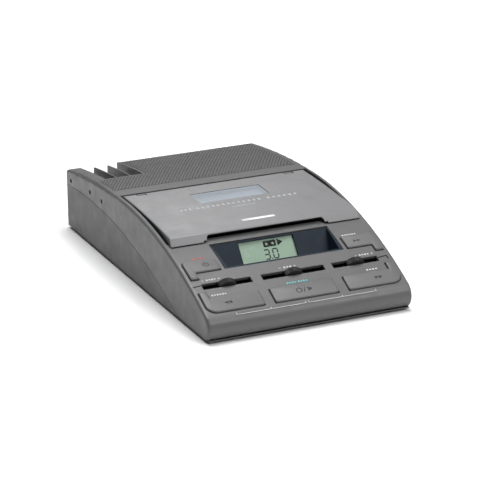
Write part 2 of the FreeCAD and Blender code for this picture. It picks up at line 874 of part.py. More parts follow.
def display_bezel():
    """Dark well let into the panel, with a steep pane that frames the screen."""
    top_y, top_z = display_place()
    tilt, slant, thick = D["display_tilt"], D["display_slant"], D["display_wall"]
    half = D["display_half_width"] - 0.2
    low_y = top_y - slant * cosine(tilt)
    low_z = top_z - slant * sine(tilt)
    rim_y = display_front() + 1.5
    rim_z = arch_z(rim_y)
    outer = prism("display_bezel", "YZ", [
        (top_y + thick * sine(tilt), top_z - thick * cosine(tilt)),
        (top_y, top_z + 0.02, front_arch_radius),
        (rim_y - 1.3, arch_z(rim_y - 1.3) - 0.15),
        (rim_y - 1.3, arch_z(rim_y - 1.3) - 3.4),
        (low_y - 3.6, low_z - thick), (low_y + 0.4, low_z - thick)], -half, half)
    cavity_side = prism("display_well", "YZ", [
        (top_y, top_z), (top_y, top_z + 12), (rim_y, top_z + 12), (rim_y, rim_z - 2.5),
        (low_y - 3, low_z), (low_y, low_z)], -half, half)
    near, deep = half - 0.9, half - 4.2
    cavity_front = prism("display_flare", "XZ", [
        (-deep, low_z - 1), (deep, low_z - 1), (near, top_z), (near, top_z + 14),
        (-near, top_z + 14), (-near, top_z)], -(top_y + 5), -(rim_y - 5))
    screen = screen_opening("screen_hole", 0, -6, 1)
    return node("display_bezel", cut(outer, common(cavity_side, cavity_front), screen))


def screen_opening(name, grow, low, high):
    middle = D["screen_offset"]
    half = D["screen_width"] / 2 + grow
    return display_panel(name, (middle - half, middle + half),
                         (-D["screen_height"] - 1 - grow, -1 + grow), low, high)


def glass_block(name, grow):
    """The liquid-crystal glass, or the room that it needs."""
    top = -D["display_wall"] - 0.1
    middle = D["screen_offset"]
    half = D["screen_width"] / 2 + 0.7 + grow
    return display_panel(name, (middle - half, middle + half),
                         (-D["screen_height"] - 1.7 - grow, -0.95 + grow),
                         top - D["glass_thickness"] - grow, top + grow)


def display_glass():
    """Liquid-crystal glass behind the display pane."""
    return node("display_glass", glass_block("display_glass", 0))


# ---------------------------------------------------------------- controls
def key(name):
    """A key cap with a flange under the panel and a stem down to its dome."""
    outline, side, row, stem_x = KEYS[name]
    under = -wall - 0.35
    body = prism(name, "XY", outline(side), under - 0.1, D["key_proud"])
    round_edges(body, D["key_rounding"], lambda edge: all(
        abs(vertex.Point.z - D["key_proud"].value) < 0.01 for vertex in edge.Vertexes))
    flange = prism(name + "_flange", "XY", outline(side, 0.9), under - D["flange_thickness"],
                   under)
    # the flange stops short of the casing's side wall
    beyond = [box("wall_room", ends, (-30, 30), (under - 3, under + 3))
              for ends in ((inner_half - 0.1, inner_half + 10), (-inner_half - 10, 0.1 - inner_half))]
    flange = cut(flange, *beyond)
    place(body, 0, 0, 0)
    stem = rod(name + "_stem", 2, (stem_x, 0, -8.5), 6)
    joined = fuse(body, flange, stem)
    return node(name, on_panel(joined, D[row]))


def slider_knob(name, centre):
    """A domed knob that stands up through its slot, on a stem from the slider."""
    half = D["knob_width"] / 2
    depth = (D["slot_depth"] - 0.7) / 2
    dome = prism(name, "XZ", [
        (centre - half, 0), (centre - half, -3), (centre + half, -3), (centre + half, 0, 7.2)],
        -depth, depth)
    stem = box(name + "_stem", (centre - 1.5, centre + 1.5), (-0.8, 0.8), (-8, -2.8))
    return node(name + "_knob", on_panel(fuse(dome, stem), D["slider_row_from_front"]))


def slider_track(name, centre, length):
    """The body of a slide potentiometer, with a slot for the knob's stem."""
    half = length / 2 - 0.6
    travel = (length - D["knob_width"]) / 2
    top = -wall - 3.3
    body = box(name, (centre - half, centre + half), (-4.2, 4.2),
               (-D["board_depth_below_panel"], top))
    slot = box(name + "_slot", (centre - travel - 1.8, centre + travel + 1.8), (-1.1, 1.1),
               (-9, 0))
    return on_panel(cut(body, slot), D["slider_row_from_front"])


def slider_tracks():
    return node("slider_tracks", group(*[
        slider_track(name, *slot) for name, slot in SLIDERS.items()]))


def control_board():
    """Circuit board under the panel, with an ear on each side of the display."""
    top = -D["board_depth_below_panel"] - 0.05
    low = top - D["board_thickness"]
    half = half_width - 8
    inner = D["display_half_width"] + 3
    board = fuse(box("control_board", (-half, half), (-19.5, 5), (low, top)),
                 box("board_ear", (-half, -inner), (4, 21), (low, top)),
                 box("board_ear", (inner, half), (4, 21), (low, top)))
    return node("control_board", on_panel(board, D["slider_row_from_front"]))


def key_domes():
    """Rubber domes on the control board, one under each key, drawn pressed flat."""
    domes = []
    for name, (_, _, row, stem_x) in KEYS.items():
        across = 18.3 if row.startswith("upper") else -16.9
        top = -D["board_depth_below_panel"]
        domes.append(cone("dome", 3.6, 2.2, (stem_x, across, top), 2.6))
    return node("key_domes", on_panel(group(*domes), D["slider_row_from_front"]))


# ---------------------------------------------------------------- deck and drive
def deck_posts():
    return [(side * size(55), y) for side in (-1, 1) for y in (reel_y - 44, reel_y + 22)]


def board_posts():
    return [(side * size(40), y) for side in (-1, 1) for y in (size(-44), size(60))]


def deck_plate():
    """Steel chassis plate under the cassette, with its riveted post, pins and motor legs."""
    low = D["deck_height"]
    plate = box("deck_plate", (-59, 59), (reel_y - 48, reel_y + 26), (low, deck_top))
    holes = [rod("bush_hole", 3, (side * reel_x, reel_y, low - 1), 4) for side in (-1, 1)]
    holes += [rod("deck_screw_hole", 1.4, (x, y, low - 1), 4)
              for x, y in deck_posts() + cover_screws()]
    holes.append(box("lug_slot", (-37.5, -30.5), (cassette_front - 5.4, cassette_front + 3.5),
                     (low - 1, deck_top + 1)))
    legs = [rod("motor_leg", 2, (motor_x + dx, motor_y + dy, motor_top()), low - motor_top())
            for dx, dy in ((11, 0), (5.5, -9.5), (5.5, 9.5))]
    tab = box("spring_tab", (-36, -32), (cassette_front - 25.2, cassette_front - 24), (20, low))
    pins = [rod("guide_pin", 1.2, (side * 12, cassette_front - 17, deck_top), 1.2)
            for side in (-1, 1)]
    post = rod("drive_post", 1.5, (0, drive_y, wheel_low - 4), low - wheel_low + 4.5)
    return node("deck_plate", fuse(cut(plate, *holes), tab, post, *legs, *pins))


def deck_cover():
    """Plastic tray round the cassette, inside the lid opening."""
    low = deck_top + 1.4
    top = low + 1.6
    half = inner_half - 0.4
    front_y, back_y = opening_front - 0.8, opening_back - 0.8
    plate = box("deck_cover", (-half, half), (front_y, back_y), (low, top))
    rims = [box("cover_rim", (side * (half - 0.4) - 0.4, side * (half - 0.4) + 0.4),
                (front_y, back_y), (low, top + 3)) for side in (-1, 1)]
    reach = D["cassette_width"] / 2 + 0.4
    depth = D["cassette_depth"] / 2 + 0.5
    guides = [box("cassette_guide", (side * (reach + 0.8) - 0.8, side * (reach + 0.8) + 0.8),
                  (reel_y - depth, reel_y + depth), (top - 0.2, top + 3)) for side in (-1, 1)]
    guides.append(box("back_guide", (-reach - 1, reach + 1),
                      (reel_y + depth - 0.1, reel_y + depth + 1.6), (top - 0.2, top + 3)))
    guides += [box("front_guide", (x - 6, x + 6),
                   (reel_y - depth - 1.6, reel_y - depth + 0.1), (top - 0.2, top + 3))
               for x in (-reach + 5, reach - 5)]
    holes = [rod("reel_hole", 4.6, (side * reel_x, reel_y, low - 1), 4) for side in (-1, 1)]
    holes.append(box("head_slot", (-8.5, 8.5), (cassette_front - 9.5, cassette_front + 4.5),
                     (low - 1, top + 1)))
    holes += [rod("cover_screw_hole", 1.3, (x, y, low - 1), 5) for x, y in cover_screws()]
    return node("deck_cover", cut(fuse(plate, *rims, *guides), *holes))


def cover_screws():
    return [(side * size(46), y) for side in (-1, 1) for y in (reel_y - 38, reel_y + 20)]


def deck_screws():
    """Eight equal screws that hold the chassis to its posts and the tray to the chassis."""
    places = [(x, y, deck_top) for x, y in deck_posts()]
    places += [(x, y, deck_top + 3) for x, y in cover_screws()]
    return node("deck_screws", group(*[
        screw("deck_screw", x, y, z, 1.15, 2.2, 1.1, 6, up=False) for x, y, z in places]))


def spindle(label, side):
    """A splined spindle that turns one cassette reel, with its shaft."""
    x = side * reel_x
    shaft = rod(label, 1.5, (x, reel_y, wheel_low - 1.5), 10)
    top_z = cassette_z + 6.6
    post = rod(label + "_post", 2, (x, reel_y, deck_top + 2.1), top_z - deck_top - 3.3)
    tip = cone(label + "_tip", 2, 1, (x, reel_y, top_z - 1.2), 1.2)
    length = top_z - 1.2 - (cassette_z + 0.5)
    splines = []
    for index in range(3):
        spline = box(label + "_spline", (0, 2.6), (0, 0.9), (0, length))
        angle = size(120 * index)
        splines.append(place(spline, x + 0.45 * sine(angle), reel_y - 0.45 * cosine(angle),
                             cassette_z + 0.5, "Z", angle))
    return node(label, fuse(shaft, post, tip, *splines))


def turntable(label, side):
    """The rubbed wheel under a spindle."""
    x = side * reel_x
    rim = rod(label, D["turntable_radius"], (x, reel_y, wheel_low), wheel_high - wheel_low)
    groove = cut(rod(label + "_web", D["turntable_radius"] - 2, (x, reel_y, wheel_low - 1), 2.2),
                 rod(label + "_hub", 3.4, (x, reel_y, wheel_low - 1), 2.2))
    bore = rod(label + "_bore", 1.5, (x, reel_y, wheel_low - 1), 8)
    return node(label, cut(rim, groove, bore))


def spindle_bushes():
    """Two brass bushes in the chassis, one for each spindle's shaft."""
    low = wheel_high + 0.3
    bushes = []
    for side in (-1, 1):
        x = side * reel_x
        bush = fuse(rod("bush", 3, (x, reel_y, low), deck_top + 0.6 - low),
                    rod("bush_collar", 4, (x, reel_y, deck_top), 0.8))
        bushes.append(cut(bush, rod("bush_bore", 1.5 + D["running_clearance"],
                                    (x, reel_y, low - 1), 8)))
    return node("spindle_bushes", group(*bushes))


def drive_pulley():
    """Belt pulley with the hub that drives the idler."""
    low = wheel_low - 3.2
    radius = D["drive_pulley_radius"]
    disc = rod("drive_pulley", radius, (0, drive_y, low), 2.8)
    groove = cut(rod("pulley_rim", radius + 1, (0, drive_y, low + 0.7), 1.4),
                 rod("pulley_root", radius - 0.9, (0, drive_y, low + 0.7), 1.4))
    hub = rod("drive_hub", D["drive_hub_radius"], (0, drive_y, low + 2), wheel_high - low - 2)
    bore = rod("pulley_bore", 1.5 + D["running_clearance"], (0, drive_y, low - 1), 12)
    return node("drive_pulley", cut(fuse(cut(disc, groove), hub), bore))


def idler_arm():
    """Arm that swings the idler against one turntable or the other."""
    low = wheel_high + 0.4
    plate = fuse(box("idler_arm", (-2.6, 2.6), (idler_y, drive_y), (low, low + 1)),
                 rod("arm_eye", 4, (0, drive_y, low), 1),
                 rod("arm_end", 2.6, (0, idler_y, low), 1))
    bore = rod("arm_bore", 1.5 + D["running_clearance"], (0, drive_y, low - 1), 3)
    pin = rod("idler_pin", 1, (0, idler_y, wheel_low - 0.4), low - wheel_low + 0.9)
    return node("idler_arm", fuse(cut(plate, bore), pin))


def idler_wheel():
    """Wheel between the drive hub and the turntables."""
    height = wheel_high - wheel_low
    wheel = rod("idler_wheel", D["idler_radius"] - 1.4, (0, idler_y, wheel_low), height)
    bore = rod("idler_bore", 1 + D["running_clearance"], (0, idler_y, wheel_low - 1), 8)
    return node("idler_wheel", cut(wheel, bore))


def idler_tyre():
    """Rubber ring on the idler wheel."""
    height = wheel_high - wheel_low
    ring = rod("idler_tyre", D["idler_radius"], (0, idler_y, wheel_low), height)
    return node("idler_tyre", cut(ring, rod("tyre_bore", D["idler_radius"] - 1.4,
                                            (0, idler_y, wheel_low - 1), 8)))


def motor_top():
    return wheel_low - 4.2


def drive_motor():
    """Flat motor under the chassis."""
    top = motor_top()
    height = 11
    can = rod("drive_motor", D["motor_radius"], (motor_x, motor_y, top - height), height)
    boss = rod("motor_boss", 3, (motor_x, motor_y, top - 1), 1.6)
    bore = rod("motor_bore", 1 + D["running_clearance"], (motor_x, motor_y, top - 8), 12)
    return node("drive_motor", cut(fuse(can, boss), bore))


def motor_shaft():
    top = motor_top()
    return node("motor_shaft", rod("motor_shaft", 1, (motor_x, motor_y, top - 7), 12))


def motor_pulley():
    """Small brass pulley on the motor's shaft."""
    low = wheel_low - 3.2
    radius = D["motor_pulley_radius"]
    disc = rod("motor_pulley", radius + 0.9, (motor_x, motor_y, low), 2.8)
    groove = cut(rod("groove_rim", radius + 2, (motor_x, motor_y, low + 0.7), 1.4),
                 rod("groove_root", radius, (motor_x, motor_y, low + 0.7), 1.4))
    bore = rod("pulley_bore", 1, (motor_x, motor_y, low - 1), 6)
    return node("motor_pulley", cut(disc, groove, bore))


def loop_face(gap, z):
    """A flat loop outline round the two pulleys, a gap outside their grooves."""
    big = D["drive_pulley_radius"].value - 0.9 + gap
    small = D["motor_pulley_radius"].value + gap
    here = FreeCAD.Vector(0, drive_y.value, z)
    there = FreeCAD.Vector(motor_x.value, motor_y.value, z)
    way = there - here
    heading = math.atan2(way.y, way.x)
    lean = math.acos((big - small) / way.Length)

    def at(centre, radius, angle):
        return centre + FreeCAD.Vector(math.cos(angle), math.sin(angle), 0) * radius

    up, down = heading + lean, heading - lean
    edges = [
        Part.makeLine(at(here, big, up), at(there, small, up)),
        Part.Arc(at(there, small, up), at(there, small, heading),
                 at(there, small, down)).toShape(),
        Part.makeLine(at(there, small, down), at(here, big, down)),
        Part.Arc(at(here, big, down), at(here, big, heading + math.pi),
                 at(here, big, up)).toShape(),
    ]
    return Part.Face(Part.Wire(edges))


def drive_belt():
    """Square rubber belt; its loop follows from the two pulleys."""
    thick = D["belt_thickness"].value
    low = wheel_low.value - 3.2 + 0.85
    ring = loop_face(thick + 0.05, low).cut(loop_face(0.05, low))
    belt = doc.addObject("Part::Feature", "drive_belt")
    belt.Shape = ring.extrude(FreeCAD.Vector(0, 0, thick))
    return node("drive_belt", belt)


def head_carriage():
    """Sliding plate that brings the playback head up to the tape."""
    low = deck_top + 0.3
    front_y = cassette_front - 25
    end = cassette_front - 1.6
    plate = box("head_carriage", (-37, 16), (front_y, end), (low, low + 0.7))
    bracket = box("head_bracket", (-6.5, 6.5), (cassette_front - 6.6, cassette_front - 5.4),
                  (low, cassette_z + 6.8))
    lug = box("carriage_lug", (-36, -32), (cassette_front - 4, end), (20.5, low + 0.7))
    slots = [box("guide_slot", (side * 12 - 1.3, side * 12 + 1.3),
                 (cassette_front - 18.3 - D["carriage_travel"], cassette_front - 15.7),
                 (low - 1, low + 2)) for side in (-1, 1)]
    hole = rod("plunger_hole", 1.2, (-34, cassette_front - 5, 24), 5, "Y")
    return node("head_carriage", cut(fuse(plate, bracket, lug), *slots, hole))


def playback_head():
    """Magnetic head on the carriage's bracket, with a rounded face."""
    tip = cassette_front - 1
    base = cassette_front - 5.4
    low = cassette_z + 1.2
    profile = [(-4, base), (4, base), (4, tip - 1.4, 12), (-4, tip - 1.4)]
    return node("playback_head", prism("playback_head", "XY", profile, low, low + 5.4))


def head_solenoid():
    """Electromagnet that pulls the carriage in."""
    face = cassette_front + 3
    body = box("head_solenoid", (-41.5, -26.5), (face, face + 20), (17.3, 30.7))
    bore = rod("solenoid_bore", 2.55, (-34, face - 1, 24), 19, "Y")
    return node("head_solenoid", cut(body, bore))


def solenoid_plunger():
    """Iron plunger, pinned to the carriage's lug."""
    start = cassette_front - 1.6
    plunger = rod("solenoid_plunger", 2.5, (-34, start, 24), 14, "Y")
    stub = rod("plunger_stub", 1.2, (-34, start - 2.4, 24), 3, "Y")
    return node("solenoid_plunger", fuse(plunger, stub))


def carriage_spring():
    """Coil that draws the carriage back from the tape."""
    helix = doc.addObject("Part::Helix", fresh("spring_path"))
    helix.Placement = FreeCAD.Placement(
        FreeCAD.Vector(), FreeCAD.Rotation(FreeCAD.Vector(*FLIPS["Y"][0]), FLIPS["Y"][1]))
    start = cassette_front - 23.7
    bind(helix, Pitch=1.55, Height=18.6, Radius=1.7)
    place(helix, -34, start, 24)
    wire = doc.addObject("Part::Circle", fresh("spring_wire"))
    bind(wire, Radius=0.28)
    place(wire, -34 + size(1.7), start, 24)
    sweep = doc.addObject("Part::Sweep", fresh("spring"))
    sweep.Sections = [wire]
    sweep.Spine = (helix, [])
    sweep.Solid = True
    sweep.Frenet = True
    return node("carriage_spring", sweep)


# ---------------------------------------------------------------- cassette
def reel_holes(radius, low, height):
    return [rod("reel_hole", radius, (side * reel_x, reel_y, low), height) for side in (-1, 1)]


def cassette_half(label, low, floor_low, floor_high):
    """One half of the cassette's shell, open towards the other half."""
    half_x, half_y = D["cassette_width"] / 2, D["cassette_depth"] / 2
    height = D["cassette_height"] / 2
    corner = 2.5
    outline = [
        (-half_x + corner, -half_y), (half_x - corner, -half_y, corner),
        (half_x, -half_y + corner), (half_x, half_y - corner, corner),
        (half_x - corner, half_y), (-half_x + corner, half_y, corner),
        (-half_x, half_y - corner), (-half_x, -half_y + corner, corner)]
    shell = place(prism(label, "XY", outline, 0, height), 0, reel_y, low)
    hollow = box(label + "_hollow", (-half_x + 1.4, half_x - 1.4),
                 (reel_y - half_y + 1.4, reel_y + half_y - 1.4), (floor_low, floor_high))
    mouth = box(label + "_mouth", (-7, 7), (reel_y - half_y - 1, reel_y - half_y + 2),
                (cassette_z - 1, cassette_z + D["cassette_height"] - 0.8))
    return node(label, cut(shell, hollow, mouth, *reel_holes(4.2, low - 1, height + 2)))


def cassette_shells():
    middle = cassette_z + D["cassette_height"] / 2
    top = cassette_z + D["cassette_height"]
    cassette_half("cassette_base", cassette_z, cassette_z + 1.3, middle + 1)
    cassette_half("cassette_cover", middle, middle - 1, top - 1.3)


def cassette_label():
    """Paper label on the cassette, under the lid's window."""
    top = cassette_z + D["cassette_height"]
    sheet_body = box("cassette_label", (-24, 24), (reel_y - 11, reel_y + 15), (top, top + 0.15))
    return node("cassette_label", cut(sheet_body, *reel_holes(5, top - 1, 3)))


def reel_hub(label, side):
    """Cassette reel with three inner teeth that sit between the spindle's splines."""
    x = side * reel_x
    low, height = cassette_z + 1.7, D["cassette_height"] - 3.4
    ring = cut(rod(label, 6.6, (x, reel_y, low), height),
               rod(label + "_bore", 3.2, (x, reel_y, low - 1), height + 2))
    teeth = []
    for index in range(3):
        tooth = box(label + "_tooth", (0, 1.75), (0, 0.9), (0, height))
        angle = size(60 + 120 * index)
        teeth.append(place(tooth, x + 2.25 * cosine(angle) + 0.45 * sine(angle),
                           reel_y + 2.25 * sine(angle) - 0.45 * cosine(angle), low, "Z", angle))
    return node(label, fuse(ring, *teeth))


def tape_pack(label, side):
    """The tape wound on one reel."""
    x = side * reel_x
    low, height = cassette_z + 2.1, D["cassette_height"] - 4.2
    return node(label, cut(rod(label, 11.6, (x, reel_y, low), height),
                           rod(label + "_bore", 6.6, (x, reel_y, low - 1), height + 2)))


def tape_run():
    """The length of tape that passes the head."""
    y = cassette_front + 4.6
    return node("tape_run", box("tape_run", (-22, 22), (y, y + 0.12),
                                (cassette_z + 2.1, cassette_z + 5.9)))


# ---------------------------------------------------------------- electronics and sound
def main_board():
    """Main circuit board on the floor of the base."""
    low = floor_z + 2.3
    board = box("main_board", (-48, 48), (-50, 66), (low, low + D["board_thickness"]))
    holes = [rod("board_hole", 1.2, (x, y, low - 1), 4) for x, y in board_posts()]
    return node("main_board", cut(board, *holes))


def board_top():
    return floor_z + 2.3 + D["board_thickness"]


def board_screws():
    return node("board_screws", group(*[
        screw("board_screw", x, y, board_top(), 0.95, 2, 1, 2.8, up=False)
        for x, y in board_posts()]))


def board_components():
    """Flat chips and upright capacitors on the main board."""
    z = board_top()
    chips = [(-20, -30, 14, 14), (8, -34, 10, 6), (-30, 40, 12, 7)]
    capacitors = [(30, -30, 4), (20, -42, 3.2), (-8, 48, 4), (4, 48, 4)]
    solids = [box("chip", (x, x + dx), (y, y + dy), (z, z + 1.8)) for x, y, dx, dy in chips]
    solids += [rod("capacitor", radius, (x, y, z), 9) for x, y, radius in capacitors]
    return node("board_components", group(*solids))


def ribbon_cable():
    """Flat cable from the control board to the main board."""
    z = board_top()
    corners = [(-84, 12.6), (-83.3, 12.6), (-70, 11), (-46.3, z + 2.5), (-46.3, z),
               (-47, z), (-47, z + 2), (-70.3, 10.3), (-84, 11.9)]
    return node("ribbon_cable", prism("ribbon_cable", "YZ", corners, -10, 10))


def speaker_place():
    return size(20), back - 38


def speaker_frame():
    """Loudspeaker basket and magnet under the grille."""
    x, y = speaker_place()
    radius = D["speaker_radius"]
    top = back_arch_z(y + radius, wall) - 0.5
    rim = rod("speaker_frame", radius, (x, y, top - 1.8), 1.8)
    basket = cone("basket", 15, radius - 2.5, (x, y, top - 9.8), 8.1)
    magnet = rod("magnet", 14, (x, y, top - 18), 8.3)
    inside = fuse(cone("basket_inside", 12.5, radius - 4, (x, y, top - 8.6), 7),
                  rod("rim_hole", radius - 4, (x, y, top - 1.7), 3))
    return node("speaker_frame", cut(fuse(rim, basket, magnet), inside))


def speaker_cone():
    """Paper cone of the loudspeaker."""
    x, y = speaker_place()
    radius = D["speaker_radius"] - 4.6
    top = back_arch_z(y + D["speaker_radius"], wall) - 0.8
    outer = cone("speaker_cone", 8, radius, (x, y, top - 6), 5.8)
    inner = cone("cone_inside", 7.3, radius - 0.9, (x, y, top - 5.4), 5.5)
    return node("speaker_cone", cut(outer, inner))


# ---------------------------------------------------------------- assembly
def build():
    upper_housing()
    lower_housing()
    rubber_feet()
    case_screws()
    connector_bay()
    socket("power_jack", 9)
    socket("headset_jack", 10)
    socket("pedal_socket", 8)
    socket_board()
    cassette_lid()
    lid_window()
    lid_hinge_rod()
    display_bezel()
    display_glass()
    for name in KEYS:
        key(name)
    for name, (centre, _) in SLIDERS.items():
        slider_knob(name, centre)
    slider_tracks()
    control_board()
    key_domes()
    deck_plate()
    deck_cover()
    deck_screws()
    for side, word in ((-1, "supply"), (1, "takeup")):
        spindle(f"{word}_spindle", side)
        turntable(f"{word}_turntable", side)
        reel_hub(f"{word}_reel", side)
        tape_pack(f"{word}_tape", side)
    spindle_bushes()
    drive_pulley()
    idler_arm()
    idler_wheel()
    idler_tyre()
    drive_motor()
    motor_shaft()
    motor_pulley()
    drive_belt()
    head_carriage()
    playback_head()
    head_solenoid()
    solenoid_plunger()
    carriage_spring()
    cassette_shells()
    cassette_label()
    tape_run()
    main_board()
    board_screws()
    board_components()
    ribbon_cable()
    speaker_frame()
    speaker_cone()


def check():
    """Stops the build if anything in the document failed or a sub-part isn't sound."""
    for thing in doc.Objects:
        state = " ".join(thing.State)
        if "Invalid" in state or "Error" in state:
            raise SystemExit(f"{thing.Name} failed: {state}")
    for item in nodes:
        if item.Shape.isNull() or not item.Shape.isValid() or not item.Shape.Solids:
            raise SystemExit(f"{item.Label} has no sound solid")


def export():
    os.makedirs("parts", exist_ok=True)
    for item in nodes:
        item.Shape.exportStep(f"parts/{item.Label}.step")


build()
doc.recompute()
check()
export()
print(len(nodes), "sub-parts written")
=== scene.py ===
import json
import math

import bmesh
import bpy
from mathutils import Matrix, Vector


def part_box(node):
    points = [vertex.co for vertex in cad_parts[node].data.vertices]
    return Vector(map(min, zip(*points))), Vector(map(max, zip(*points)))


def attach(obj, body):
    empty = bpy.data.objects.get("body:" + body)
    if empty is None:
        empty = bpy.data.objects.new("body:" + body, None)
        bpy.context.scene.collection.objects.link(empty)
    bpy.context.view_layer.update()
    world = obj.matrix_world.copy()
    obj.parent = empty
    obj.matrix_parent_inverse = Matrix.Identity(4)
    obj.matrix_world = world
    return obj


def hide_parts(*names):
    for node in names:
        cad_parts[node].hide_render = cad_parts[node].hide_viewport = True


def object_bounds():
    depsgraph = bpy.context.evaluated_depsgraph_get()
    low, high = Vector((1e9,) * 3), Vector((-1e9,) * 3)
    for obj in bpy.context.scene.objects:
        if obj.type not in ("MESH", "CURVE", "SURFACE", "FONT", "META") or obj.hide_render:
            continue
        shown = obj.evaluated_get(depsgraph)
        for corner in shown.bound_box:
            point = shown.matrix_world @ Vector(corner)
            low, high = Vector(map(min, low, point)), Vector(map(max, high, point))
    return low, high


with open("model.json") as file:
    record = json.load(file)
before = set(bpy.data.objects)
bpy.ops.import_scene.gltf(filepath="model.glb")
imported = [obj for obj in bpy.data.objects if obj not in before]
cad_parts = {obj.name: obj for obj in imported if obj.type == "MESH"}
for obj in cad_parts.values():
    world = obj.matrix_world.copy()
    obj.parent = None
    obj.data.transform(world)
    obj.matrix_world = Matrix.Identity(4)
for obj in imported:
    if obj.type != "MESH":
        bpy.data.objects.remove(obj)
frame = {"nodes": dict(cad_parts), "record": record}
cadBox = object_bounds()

print("frame loaded:", len(frame["nodes"]), "CAD nodes")

# the casing's shape, worked out from the frame (mm)
mm = 0.001
boxLow, boxHigh = [corner * 1000 for corner in cadBox]
casing = {"halfWidth": boxHigh.x, "front": boxLow.y, "back": boxHigh.y, "crownHeight": boxHigh.z,
          "crownFromBack": 102, "frontArch": 300, "backArch": 620}
casing["crownY"] = casing["back"] - casing["crownFromBack"]


def archZ(y):
    # height of the casing's top above the desk
    radius = casing["frontArch"] if y < casing["crownY"] else casing["backArch"]
    return casing["crownHeight"] - radius + math.sqrt(radius ** 2 - (y - casing["crownY"]) ** 2)


def onPanel(fromFront):
    # frame of a row of controls: x across, y up the slope, z out of the panel
    y = casing["front"] + fromFront
    slope = math.asin((casing["crownY"] - y) / casing["frontArch"])
    return Matrix.Translation((0, y, archZ(y))) @ Matrix.Rotation(slope, 4, "X")


def onArch(x, y, lift=0):
    # a point on the casing's top, or a little above it
    radius = casing["frontArch"] if y < casing["crownY"] else casing["backArch"]
    lean = (y - casing["crownY"]) / radius
    return Vector((x, y + lift * lean, archZ(y) + lift * math.sqrt(1 - lean ** 2)))


# finishes
def nodeTools(material):
    tree = material.node_tree
    tree.nodes.clear()
    add = tree.nodes.new

    def join(a, b):
        tree.links.new(a, b)

    return add, join


def noise(add, join, place, size, detail=2.0, rough=0.5):
    # noise whose blobs are about "size" mm across
    node = add("ShaderNodeTexNoise")
    node.inputs["Scale"].default_value = 1000.0 / size
    node.inputs["Detail"].default_value = detail
    node.inputs["Roughness"].default_value = rough
    join(place, node.inputs["Vector"])
    return node.outputs["Fac"]


def remap(add, join, value, low, high, toLow, toHigh):
    node = add("ShaderNodeMapRange")
    for name, number in (("From Min", low), ("From Max", high), ("To Min", toLow), ("To Max", toHigh)):
        node.inputs[name].default_value = number
    join(value, node.inputs["Value"])
    return node.outputs["Result"]


def multiply(add, join, a, b):
    node = add("ShaderNodeMath")
    node.operation = "MULTIPLY"
    join(a, node.inputs[0])
    join(b, node.inputs[1])
    return node.outputs[0]


def blendColour(add, join, amount, a, b):
    node = add("ShaderNodeMix")
    node.data_type = "RGBA"
    join(amount, node.inputs["Factor"])
    for socket, value in ((node.inputs["A"], a), (node.inputs["B"], b)):
        if isinstance(value, (tuple, list)):
            socket.default_value = (*value, 1)
        else:
            join(value, socket)
    return node.outputs["Result"]


def tone(colour, factor):
    return tuple(min(1.0, part * factor) for part in colour)


